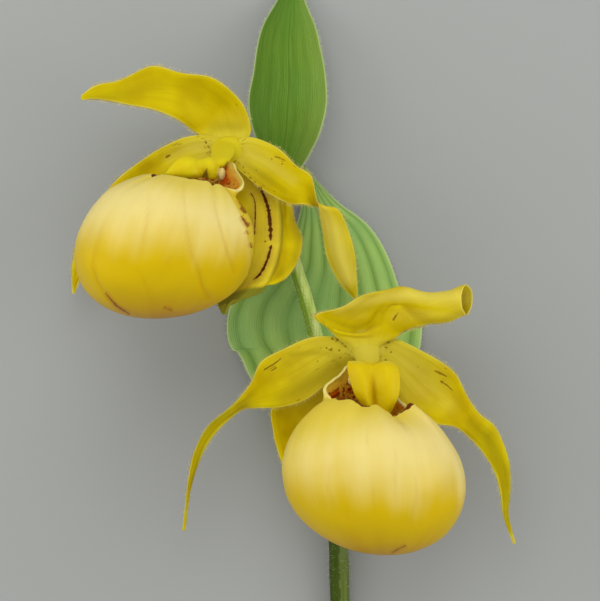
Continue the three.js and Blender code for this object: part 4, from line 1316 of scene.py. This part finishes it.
# soft painted shade in olive (strength above zero) and painted light (below zero), in the plan:
# x, y, half width and strength of each point
petalShades = {
    "lowerDorsalSepal": [
        [[8.7, 13.2, 0.9, 0.2], [12.8, 11.6, 0.9, 0.4], [17.3, 10.3, 0.9, 0.45], [20.8, 12, 0.8, 0.4],
         [23.3, 15.6, 0.7, 0.35], [25.7, 17.4, 0.6, 0.15]],
        [[13, 15, 2, -0.15], [19, 14.5, 2, -0.2]],
        [[28, 14, 2, -0.15], [36, 14.4, 2, -0.25], [44, 14.6, 2, -0.25]],
        [[11.5, 15.4, 1, -0.3], [15.5, 17.3, 1.3, -0.7], [20.8, 18.3, 1.5, -0.8],
         [26.2, 19.2, 1.5, -0.85], [31.6, 19.6, 1.8, -0.9], [37, 18.8, 1.8, -0.9], [44, 19.4, 2.2, -0.8],
         [46.5, 18.6, 2.2, -0.6]],
        [[24.4, 14.6, 0.35, 0.35], [26.5, 16.6, 0.35, 0.5], [29.8, 17, 0.4, 0.45], [35, 16.2, 0.5, 0.25],
         [44, 15, 0.5, 0.1]],
        [[16, 6.5, 2.4, -0.1], [19.6, 7.4, 2.4, -0.15], [24, 7.5, 2, -0.1]],
    ],
    "upperDorsalSepal": [
        [[-33.5, 78, 1.4, 0.1], [-29.6, 75.4, 2, 0.15], [-26.4, 73, 2.2, 0.15], [-21.6, 69, 1.6, 0.1]],
        [[-25, 77, 0.8, 0.1], [-20.8, 74, 0.9, 0.2], [-17.4, 70.6, 0.8, 0.1]],
        [[-21.4, 65, 1.7, 0.35], [-17.8, 65.4, 1.7, 0.4], [-14.6, 65, 1.7, 0.35]],
        [[-36, 75, 2.6, 0.25], [-42, 74, 3, 0.35], [-49, 72, 2.6, 0.55], [-54, 71, 2, 0.6],
         [-57, 70, 1.2, 0.2]],
    ],
    "lowerPetalLeft": [
        [[17, 2.2, 2.2, 0.7], [12.6, 0.4, 3, 1], [7, -3.4, 3, 0.9], [0.4, -7, 2.6, 0.7], [-5, -9, 2, 0.3]],
        [[-0.5, 3.4, 0.8, 0.3], [5.5, 4, 0.9, 0.4], [11, 3.6, 0.9, 0.2]],
        [[-12, -9, 2, 0.3], [-21, -16, 2, 0.5], [-26, -25, 2, 0.5], [-29, -43, 2, 0.4]],
    ],
    "lowerPetalRight": [
        [[26, 1.6, 0.9, 0.15], [32.5, -2.4, 1, 0.25], [39, -8.6, 1.2, 0.2]],
        [[30, 1.5, 3, -0.3], [36, -5, 3.4, -0.45], [42, -10, 2.4, -0.3]],
        [[48, -15, 1.6, 0.4], [52.5, -19, 2.4, 0.8], [57.5, -29, 2.2, 0.7], [60, -44, 2, 0.5]],
    ],
    "upperPetalRight": [
        [[-12.8, 55, 1, 0.3], [-7.6, 51.5, 1.3, 0.45], [-2.4, 47.6, 1.2, 0.3]],
        [[-12, 58, 1.5, -0.3], [-6, 55, 1.6, -0.5], [0, 50.5, 1.5, -0.4]],
        [[4.6, 45.4, 0.8, 0.4], [6.4, 42.8, 0.6, 0.2]],
        [[8, 41.8, 2, -0.7], [10.6, 37, 2.8, -0.95], [12.8, 31, 2.6, -0.95], [15, 24, 2.2, -0.9]],
    ],
    "upperPetalLeft": [
        [[-27.6, 55.4, 1.3, 0.4], [-33.4, 52.8, 1.6, 0.4], [-40.4, 46, 1.6, 0.3]],
        [[-23, 60, 1.8, -0.5], [-28, 59.6, 1.4, -0.5], [-34, 56.5, 1.2, -0.3]],
    ],
    "upperSynsepal": [
        [[-4, 48.2, 0.5, 0.6], [-3.6, 44, 0.6, 0.8], [-3.1, 39, 0.7, 0.8], [-3.2, 33, 0.7, 0.7],
         [-4.4, 27.6, 0.6, 0.6], [-6.4, 24, 0.5, 0.3]],
        [[-11.6, 46, 1, 0.05], [-11.2, 40, 1, 0.45], [-11.4, 32, 1, 0.6], [-12.6, 26, 1, 0.5],
         [-15, 21.6, 0.9, 0.4]],
        [[1.4, 36, 1, 0.4], [0.2, 29, 1.2, 0.5], [-3.4, 24.6, 1, 0.4]],
    ],
}
petalMaterials = {
    "plain": petalTissue("petalTissue", {}),
    # painted light: a paler copy of the petal tissue for the lower synsepal, which lies in the pouch's
    # shade
    "shaded": petalTissue("paintedLightPetalTissue", {"yellow": "#EED800", "deep": "#D8BC00"}),
    "bright": petalTissue(
        "brightPetalTissue", {"yellow": "#D6C200", "deep": "#C8B000", "specksTo": 0.1, "baseTo": 0.26}
    ),
    "banded": petalTissue(
        "bandedSepalTissue",
        {
            "mark": "#4A1404",
            "markShare": 1,
            "haloShare": 0.7,
            "tipFrom": 0.7,
            "specksTo": 0.12,
            "bandShare": 0.35,
            "baseTo": 0.14,
            "yellow": "#E6D000",
            "tip": "#8C8C28",
        },
    ),
}


def addPetal(name, rows, node, material, seed, changes):
    shape = {**petalShape, **changes}

    def relief(u, v, place):
        across = 2 * v - 1
        fade = smooth(u / 0.15) * smooth((1 - u) / 0.1)
        fold = shape["foldHeight"] * math.cos(math.pi * shape["folds"] * v + seed + 2 * u)
        wave = noise.noise(Vector((u * shape["waves"], 2.0 * (v > 0.5), seed)))
        drift = noise.noise(place / shape["driftSize"] + Vector((seed, 0, 0)))
        return fade * (fold + shape["waveHeight"] * wave * abs(across) ** 3 + shape["drift"] * drift)

    bm, margin = bladeMesh(
        petalSheet(rows), shape, relief, petalMarks.get(name, ()), petalShades.get(name, ())
    )
    petal = addPiece(bm, name, [material], node)
    thicken(petal, shape["thickness"], shape["thinnest"])
    return thinned(margin, shape["hairs"])


petalPlan = [
    # key in the bloom, node's ending, piece's ending, material of the lower and of the upper bloom
    ("dorsalSepal", "dorsal_sepal", "DorsalSepal", "bright", "bright"),
    ("synsepal", "synsepal", "Synsepal", "shaded", "banded"),
    ("leftPetal", "petal_left", "PetalLeft", "plain", "plain"),
    ("rightPetal", "petal_right", "PetalRight", "plain", "bright"),
]
bloomRoots = {"lower": [], "upper": []}
seed = 0.0
for prefix, bloom in blooms.items():
    for key, node, ending, lowerOne, upperOne in petalPlan:
        material = petalMaterials[lowerOne if prefix == "lower" else upperOne]
        changes = {}
        if prefix + ending == "upperSynsepal":
            changes = {"across": 120, "lengthwise": 200, "foldHeight": 0.05, "waveHeight": 0.3}
        seed += 1.7
        roots = addPetal(prefix + ending, bloom[key], prefix + "_" + node, material, seed, changes)
        bloomRoots[prefix] += roots
for prefix, roots in bloomRoots.items():
    look = {"length": (0.45, 1.15), "radius": 0.05}
    addHairs(prefix + "BloomHairs", roots, look, bloomHairMaterial)
print("petals ready")

# pouches
pouchShape = {
    "around": 240,
    "rings": 120,
    "wall": 0.9,
    "furrows": 30,
    "furrowDepth": 0.003,  # a share of the pouch's radius
    "mouthAngle": math.radians(35),  # from the mouth's axis to its edge
    "poleShift": 0.25,
    "edgeShare": 0.84,  # where on the way from pole to margin the mouth's edge lies
    "marginRoll": 1.9,
    "marginDrop": 1.3,
    "creaseWidth": 0.5,
    "creaseDepth": 0.3,
    "freeFrom": 44,  # degrees from the front at which the margin stops rolling in
    "freeOver": 16,
    "creaseShade": 4.5,
    "creasesFrom": 2,  # millimetres above the centre
    "dipFrom": 0.66,
    "waistShare": 0.15,  # how far a dip also draws the wall in below the margin
    "dents": 0.35,
    "dentSize": 7,
    "scallop": 0.3,
    "tongueRadius": 24,
    "wallLength": 63,  # millimetres from the pole to the mouth's edge, beside its share
    "marginLength": 14,
}
pouchExtras = {
    "lower": {
        # how far the margin dips, then its rim where it stands free: a turn from the front in degrees, and
        # its millimetres or its place
        "dips": [
            [-180, 0], [-75, -0.6], [-60, -1], [-40, -1], [-30, -0.6], [-18, -0.5], [-12, 0.45], [-8, 1.3],
            [0, 1.4], [5.5, 1], [10, 1.6], [15, 2.4], [19, 2.9], [23, 4.1], [27, 3.2], [32, 2.2],
            [43, 0.45], [48, -0.95], [54, -0.4], [63, -0.15], [75, 0], [180, 0],
        ],
        "rim": [
            [-180, 20.4, 1.7, 29.5], [-170, 18.7, 1.4, 29.8], [-155, 16.3, 1.1, 30.5],
            [-140, 14.5, 0.2, 31.5], [-125, 13.2, -1.5, 33], [-112, 11.8, -2.8, 34], [-100, 10.1, -3.9, 35],
            [-88, 8.8, -5.1, 36], [-75, 8.7, -6.4, 37], [-62, 9.8, -7.6, 38], [-50, 11.5, -8.2, 39],
            [0, 20, -9, 42], [50, 31.8, -9.3, 40], [75, 31, -10.7, 36.5], [90, 29.9, -10.2, 35],
            [105, 28.6, -9, 33.5], [120, 27.3, -7.7, 32], [135, 25.7, -5.6, 31], [150, 23.6, -2.4, 30.3],
            [165, 22, 0.3, 29.8], [180, 20.4, 1.7, 29.5],
        ],
        # maroon on the fold of the margin: a turn, then its strength and its half width in millimetres
        "stains": [
            [-180, 0, 0.6], [-40, 0, 0.6], [-33, 1, 0.9], [-22, 0.9, 0.8], [-14, 1.1, 1], [-6, 1.1, 1],
            [-1, 1, 0.8], [3, 0, 0.6], [18, 0, 0.6], [28, 0.6, 0.6], [38, 0.8, 0.6], [43, 1, 0.8],
            [50, 1.1, 0.85], [55, 0, 0.6], [180, 0, 0.6],
        ],
        "marks": [
            [[26.2, -48.8, 0.1], [27.9, -47.6, 0.16], [30.3, -46.3, 0.1]],
        ],
        # soft creases in the plan, dented into the wall and darkened as painted shade:
        # x, y and strength of each point
        "creases": [
            [[27.4, -12.4, 0.5], [29.1, -14.7, 0.5], [30, -16.7, 0.2], [30.8, -19.5, 0]],
            [[20, -14, 0.15], [19.8, -18.4, 0.35], [19.2, -24, 0.1]],
            [[26.8, -18, 0.1], [27.1, -23.3, 0.35], [26.8, -29.3, 0.4], [27.3, -34, 0.3], [27, -39, 0.1]],
            [[31.8, -17.8, 0.1], [32.4, -26, 0.3], [32.3, -34, 0.45], [31, -42, 0.2]],
            [[21.4, -29.3, 0.1], [20.9, -33.3, 0.4], [21.9, -38.2, 0.15]],
            [[10.2, -25, 0.1], [9.5, -31.2, 0.4], [11.4, -37, 0.15]],
            [[14.6, -34, 0.1], [14.6, -39, 0.35], [16.6, -43.6, 0.15]],
        ],
        "marksFrom": -6,  # how far above the pouch's centre the marks begin, in millimetres
        "swelling": (-80, 40, 0),  # turn, reach in degrees and height of the bulge under the ear
        "flankFrom": 400,  # the turn at which the golden flank begins; there is none beyond 180
        "flankStep": 0,
        "seed": 3.1,
    },
    "upper": {
        "dips": [
            [-180, 0], [-110, 0], [-90, 0.8], [-60, 1], [-30, 1.1], [-15, 1.1], [-6, 1], [-3, 1.6],
            [0, 1.6], [3, 0.95], [10, 0.7], [25, 0.4], [35, 0.1], [42, -0.4], [50, -0.8], [58, -1.3],
            [64, -0.7], [70, -1.5], [78, -1.4], [90, -0.8], [105, 0], [180, 0],
        ],
        "rim": [
            [-180, -17.3, 56.2, 26.8], [-165, -18, 55.9, 26.6], [-150, -19.4, 54.4, 26.6],
            [-135, -21.6, 53.5, 26.7], [-120, -24.7, 53.1, 27], [-105, -28.6, 52.5, 28.1],
            [-90, -32.9, 51, 29.9], [-75, -36.6, 49.5, 32.5], [-60, -38.5, 49, 35.2], [0, -32, 50, 42],
            [60, -23, 48, 48], [75, -20.2, 47.9, 47.6], [85, -18, 47.6, 46.5], [92, -16.1, 47.4, 45.5],
            [98, -14.5, 47.3, 44.5], [104, -13.4, 48.1, 43.6], [110, -13.1, 49.6, 42.6],
            [118, -14.2, 51.6, 41], [126, -15.2, 53.2, 39], [136, -15.8, 55.1, 36], [146, -17.1, 54.9, 33],
            [156, -18, 54.4, 30.5], [168, -17.9, 55.5, 28], [180, -17.3, 56.2, 26.8],
        ],
        "stains": [
            [-180, 0, 0.6], [-9, 0, 0.6], [-5, 1.2, 1.2], [3, 1.2, 1.4], [7, 0, 0.6], [28, 0, 0.6],
            [34, 0.7, 0.4], [46, 0.9, 0.4], [56, 0.95, 0.6], [64, 1.05, 0.7], [72, 0.6, 0.5], [78, 0, 0.6],
            [180, 0, 0.6],
        ],
        "marks": [
            [[-49.2, 20.6, 0.08], [-46.4, 17.1, 0.3], [-42.9, 14.7, 0.15]],
            [[-34.2, 16.8, 0.08], [-31.5, 15.7, 0.08]],
            [[-15, 44.9, 0.1], [-13.9, 43.3, 0.3], [-13.4, 42, 0.62], [-12.7, 40.9, 0.3]],
            [[-14, 40.3, 0.1], [-13.3, 39.2, 0.26], [-12.4, 37.9, 0.3], [-12, 37.2, 0.1]],
            [[-11.7, 38.7, 0.08], [-12.1, 37.8, 0.16]],
            [[-12.6, 36.5, 0.06], [-12.1, 35.4, 0.12]],
            [[-11.6, 33.4, 0.12], [-11.2, 31.8, 0.16]],
        ],
        "creases": [
            [[-28.8, 49.3, 0.25], [-28, 40.2, 0.45], [-27.3, 34.4, 0.5], [-26.5, 30.5, 0.6],
             [-25.6, 28.4, 0.6], [-24.6, 25.7, 0.9], [-23.7, 21.8, 1], [-22.1, 18.9, 0.7]],
            [[-20.9, 43.7, 0.3], [-19.4, 38.4, 0.6], [-17.2, 30.6, 0.7], [-15.4, 25.4, 0.5]],
            [[-40.2, 26.5, 0.1], [-38.8, 23.4, 0.6], [-37.4, 19.8, 0.3]],
            [[-37.4, 46, 0.15], [-37.8, 40, 0.45], [-38.6, 34, 0.35], [-39.6, 28, 0.1]],
            [[-31.4, 30.4, 0.1], [-32.4, 28, 0.5], [-31.8, 26, 0.2]],
            [[-50, 38, 0.15], [-51.4, 32.6, 0.45], [-52.4, 27.2, 0.7], [-51.2, 23.3, 0.8],
             [-48, 18.4, 0.4]],
        ],
        "marksFrom": -2,
        "swelling": (100, 42, 2.2),
        "flankFrom": 77,
        "flankStep": 0.5,
        "seed": 8.4,
    },
}
liningMaterials = {
    # painted light: a pale tan and a pale right side, for a lining that the column and shield keep in shade
    "lower": pouchLining(
        "orangePouchLining",
        {
            "right": "#FFE090",
            "ember": "#FF9A30",
            "embers": 0.4,
            "through": 0.9,
            "fuzz": 0.3,
            "fuzzTint": "#FFD850",
            "tan": "#FFEA80",
        },
    ),
    "upper": pouchLining(
        "russetPouchLining", {"right": "#E09C20", "ember": "#CC5608", "embers": 0.9, "flush": "#D87810"}
    ),
}
pouchMaterials = {
    "lower": pouchSkin("waxyPouchSkin", {}),
    "upper": pouchSkin(
        "palePouchSkin",
        {
            "creamFrom": 0.65,
            "goldTo": 0.43,
            "lemonFrom": 0.66,
            "lemonShare": 0.7,
            "lemonSlant": 0,
            "paintedLightSlant": -0.03,
            "lobes": 0.014,
        },
    ),
}


def atTurn(rows, turn):
    # the numbers at a turn, from rows that each hold a turn and its numbers
    last = len(rows) - 1
    i = 0
    while i < last - 1 and turn > rows[i + 1][0]:
        i += 1
    share = (turn - rows[i][0]) / (rows[i + 1][0] - rows[i][0])
    return along([row[1:] for row in rows], (i + min(max(share, 0), 1)) / last)


def flankShare(extras, turn, s):
    # 1 on the golden flank beyond the pouch's front, which narrows towards the toe
    begins = extras["flankFrom"] + 70 * (0.84 - s) + 60 * max(0, 0.6 - s)
    return smooth((math.degrees(turn) - begins) / 4) * smooth((s - 0.42) / 0.1)


def pouchWall(bloom, extras):
    # the middle surface of the pouch's wall: turn goes round the mouth's axis from the front, s from the
    # pole (0) to the mouth's edge and on over its margin (1)
    pouch, look = bloom["pouch"], pouchShape
    axis = Vector(pouch["mouthAxis"]).normalized()
    front = Vector(pouch["front"])
    ahead = (front - axis * axis.dot(front)).normalized()
    right = axis.cross(ahead)
    middle, size = Vector(pouch["centre"]), Vector(pouch["radii"])
    tiltTurn = Quaternion((0, 0, 1), math.radians(pouch["tilt"]))
    bulgeHeading = math.radians(pouch["bulge"]["heading"])
    edge = look["edgeShare"]
    apart = Vector((extras["seed"], 0, 0))

    def onBody(turn, s):
        outward = ahead * math.cos(turn) + right * math.sin(turn)
        angle = math.pi + (look["mouthAngle"] - math.pi) * s / edge
        way = axis * math.cos(angle) + outward * math.sin(angle) - ahead * look["poleShift"]
        way = tiltTurn.inverted() @ way.normalized()
        sway = 1.1 * math.sin(2 * turn + extras["seed"]) + 0.9 * math.sin(5 * turn)
        chance = 0.5 + 1.4 * noise.noise(Vector((3 * math.cos(turn), 3 * math.sin(turn), extras["seed"])))
        valley = (0.5 + 0.5 * math.cos(look["furrows"] * turn + sway)) ** 5 * min(max(chance, 0), 1)
        ribbed = 1 - look["furrowDepth"] * valley * math.sin(angle) ** 2
        heading = math.atan2(way.y, way.x)
        flank = way.x**2 + way.y**2
        bulged = 1 + pouch["bulge"]["share"] * flank * math.cos(3 * (heading - bulgeHeading))
        spot = Vector(p * q for p, q in zip(way, size)) * (ribbed * bulged)
        spot = tiltTurn @ spot + middle
        spot += outward * look["dents"] * noise.noise(spot / look["dentSize"] + apart)
        where, spread, height = extras["swelling"]
        swollen = smooth(1 - abs(math.degrees(turn) - where) / spread) * smooth((s - 0.52) / 0.24)
        step = flankShare(extras, turn, s) * extras["flankStep"]
        spot += outward * (height * swollen - step)
        crease = 0
        if spot.z > middle.z + look["creasesFrom"]:
            gap, _, strength = nearestMark(extras["creases"], spot.x, spot.y)
            crease = max(strength, 0) * math.exp(-((gap / look["creaseWidth"]) ** 2))
            spot += (middle - spot).normalized() * (look["creaseDepth"] * crease)
        dip = atTurn(extras["dips"], math.degrees(turn))[0]
        spot -= axis * dip * smooth((s - look["dipFrom"]) / (edge - look["dipFrom"]))
        waist = smooth((s - 0.6) / 0.16) * (1 - smooth((s - 0.8) / 0.06))
        spot -= outward * (look["waistShare"] * dip * waist)
        # the last value darkens the skin along the furrows, and along the creases as painted shade
        return spot, outward, 0.5 * valley * math.sin(angle) ** 2 + look["creaseShade"] * crease**1.3

    def place(turn, s):
        if s <= edge:
            spot, _, furrow = onBody(turn, s)
            return spot, furrow
        start, outward, furrow = onBody(turn, edge)
        over = (s - edge) / (1 - edge)
        rolled = start - outward * look["marginRoll"] - axis * look["marginDrop"]
        degrees = math.degrees(turn)
        free = smooth((abs(degrees) - look["freeFrom"]) / look["freeOver"])
        rim = rolled.lerp(Vector(atTurn(extras["rim"], degrees)), free)
        heading = (start - onBody(turn, edge - 0.02)[0]).normalized()
        bend = start + heading * (0.45 * (rim - start).length)
        spot = start * (1 - over) ** 2 + bend * (2 * over * (1 - over)) + rim * over**2
        spot += axis * (look["scallop"] * over * noise.noise(Vector((5 * turn, extras["seed"], 0))))
        return spot, furrow

    return place


def addPouch(prefix, bloom):
    extras, look = pouchExtras[prefix], pouchShape
    wall = pouchWall(bloom, extras)
    bm = bmesh.new()
    bmesh.ops.create_grid(bm, x_segments=look["around"], y_segments=look["rings"], size=1)
    share = bm.verts.layers.float_vector.new("share")  # furrow, towards the mouth, over the margin
    mark = bm.verts.layers.float_vector.new("mark")
    tongues = bm.verts.layers.float_vector.new("tongues")  # long towards the mouth, narrow across
    stain = bm.verts.layers.float.new("stain")
    golden = bm.verts.layers.float.new("golden")
    radius = look["tongueRadius"]
    for vert in bm.verts:
        turn, s = vert.co.x * math.pi, (vert.co.y + 1) / 2
        vert[tongues] = Vector((radius * math.cos(turn), radius * math.sin(turn), 5 * s))
        strength, spread = atTurn(extras["stains"], math.degrees(turn))
        fromFold = (s - look["edgeShare"]) * look["wallLength" if s < look["edgeShare"] else "marginLength"]
        vert[stain] = strength * math.exp(-(((fromFold - 0.3) / spread) ** 2))
        vert[golden] = flankShare(extras, turn, s)
        vert.co, furrow = wall(turn, s)
        vert[share] = Vector((furrow, s, max(0, s - look["edgeShare"]) / (1 - look["edgeShare"])))
        facing = vert.co.z > bloom["pouch"]["centre"][2] + extras["marksFrom"]
        vert[mark] = nearestMark(extras["marks"] if facing else (), vert.co.x, vert.co.y)
    bmesh.ops.remove_doubles(bm, verts=bm.verts, dist=0.001)
    materials = [pouchMaterials[prefix], liningMaterials[prefix]]
    pouch = addPiece(bm, prefix + "Pouch", materials, prefix + "_lip")
    thicken(pouch, look["wall"]).material_offset = 1


for prefix, bloom in blooms.items():
    addPouch(prefix, bloom)
print("pouches ready")

# columns
columnShape = {
    "grid": 40,
    "shieldThickness": 1.1,
    "grooveDepth": 0.5,
    "grooveWidth": 1.1,
    "grooveBed": 0.4,
    "shieldBlend": 1.8,
    "voxel": 0.2,
    "smoothing": 9,
    "neck": {
        "around": 32,
        "lengthwise": 40,
        "caps": 4,
        "chamfer": 0.3,
        "side": Vector((1, 0, 0)),
        "ribs": 2,
        "ribDepth": 0.03,
        "twist": 0,
        "bumpDepth": 0.04,
        "flat": 0.6,
    },
}
columnExtras = {
    "lower": {
        "hub": ([19.8, 5.4, 28.2], [6, 4.4, 2]),
        "anthers": [([15.9, -3.4, 33.4], [1.1, 1.5, 1.1]), ([27.2, -3, 33.4], [1.1, 1.5, 1.1])],
        "groove": [[21.2, -1.5, 0.1], [21.6, -4.5, 0.7], [21.9, -8, 1], [22.3, -13, 0.8]],
        "dusk": [],
        "shieldFrom": 1.4,
    },
    "upper": {
        "hub": ([-17, 58.8, 26], [4.8, 3.8, 1.6]),
        "anthers": [([-18.9, 51.9, 37], [1, 1.8, 1.1]), ([-31.5, 53.5, 36.5], [1.1, 1.4, 1.1])],
        "groove": [[-24.9, 53.6, 0.05], [-24.6, 52.4, 0.3], [-24.2, 50.8, 0.7]],
        # painted shade: a brown gap between the lobes, where shade falls
        "dusk": [[[-22.9, 53.4, 0.1], [-23.2, 52.3, 0.45], [-23.4, 51, 0.9]]],
        "shieldFrom": 55.9,
    },
}


def addColumn(prefix, bloom):
    look, extras = columnShape, columnExtras[prefix]
    shield = bmesh.new()
    bmesh.ops.create_grid(shield, x_segments=look["grid"], y_segments=look["grid"], size=1)
    sheet = petalSheet(bloom["shield"])
    for vert in shield.verts:
        vert.co = sheet(round((vert.co.y + 1) / 2, 5), (vert.co.x + 1) / 2)
    shield.normal_update()
    for vert in shield.verts:
        vert.co += vert.normal * look["shieldThickness"] / 2
    bmesh.ops.solidify(shield, geom=shield.faces[:], thickness=look["shieldThickness"])
    bm = stalkMesh(bloom["neck"], look["neck"])
    spare = bpy.data.meshes.new("shieldSpare")
    shield.to_mesh(spare)
    shield.free()
    bm.from_mesh(spare)
    bpy.data.meshes.remove(spare)
    centre, radii = extras["hub"]
    place = Matrix.Translation(centre) @ Matrix.Diagonal((*radii, 1))
    bmesh.ops.create_uvsphere(bm, u_segments=32, v_segments=20, radius=1, matrix=place)
    for anther, spread in extras["anthers"]:
        place = Matrix.Translation(anther) @ Matrix.Diagonal((*spread, 1))
        bmesh.ops.create_uvsphere(bm, u_segments=20, v_segments=12, radius=1, matrix=place)
    rough = addPiece(bm, prefix + "ColumnRough", [])
    fuse = rough.modifiers.new("fuse", "REMESH")
    fuse.mode = "VOXEL"
    fuse.voxel_size = look["voxel"] * mm
    soften = rough.modifiers.new("soften", "SMOOTH")
    soften.iterations = look["smoothing"]
    fused = bpy.data.meshes.new_from_object(rough.evaluated_get(bpy.context.evaluated_depsgraph_get()))
    bpy.data.objects.remove(rough)
    bm = bmesh.new()
    bm.from_mesh(fused)
    bpy.data.meshes.remove(fused)
    bmesh.ops.scale(bm, vec=(1 / mm, 1 / mm, 1 / mm), verts=bm.verts)
    share = bm.verts.layers.float_vector.new("share")  # groove, hub, cream anther
    dusk = bm.verts.layers.float.new("dusk")
    for vert in bm.verts:
        gap, _, depth = nearestMark([extras["groove"]], vert.co.x, vert.co.y)
        groove = smooth(1.1 - abs(gap) / look["grooveWidth"]) * max(depth, 0)
        near, _, halfWidth = nearestMark(extras["dusk"], vert.co.x, vert.co.y)
        vert[dusk] = smooth((halfWidth - abs(near)) / 0.3 + 0.5)
        if vert.normal.z > 0:
            vert.co.z -= look["grooveDepth"] * max(depth, 0) * math.exp(-abs(gap) / look["grooveBed"])
        off = []
        for anther, spread in extras["anthers"]:
            off.append(Vector((p - q) / r for p, q, r in zip(vert.co, anther, spread)).length)
        above = smooth((vert.co.y - extras["shieldFrom"]) / look["shieldBlend"] + 0.5)
        vert[share] = Vector((groove, above, smooth(3.2 - 2.2 * min(off))))
    addPiece(bm, prefix + "Column", [columnMaterials[prefix]], prefix + "_column")


for prefix, bloom in blooms.items():
    addColumn(prefix, bloom)
print("columns ready")
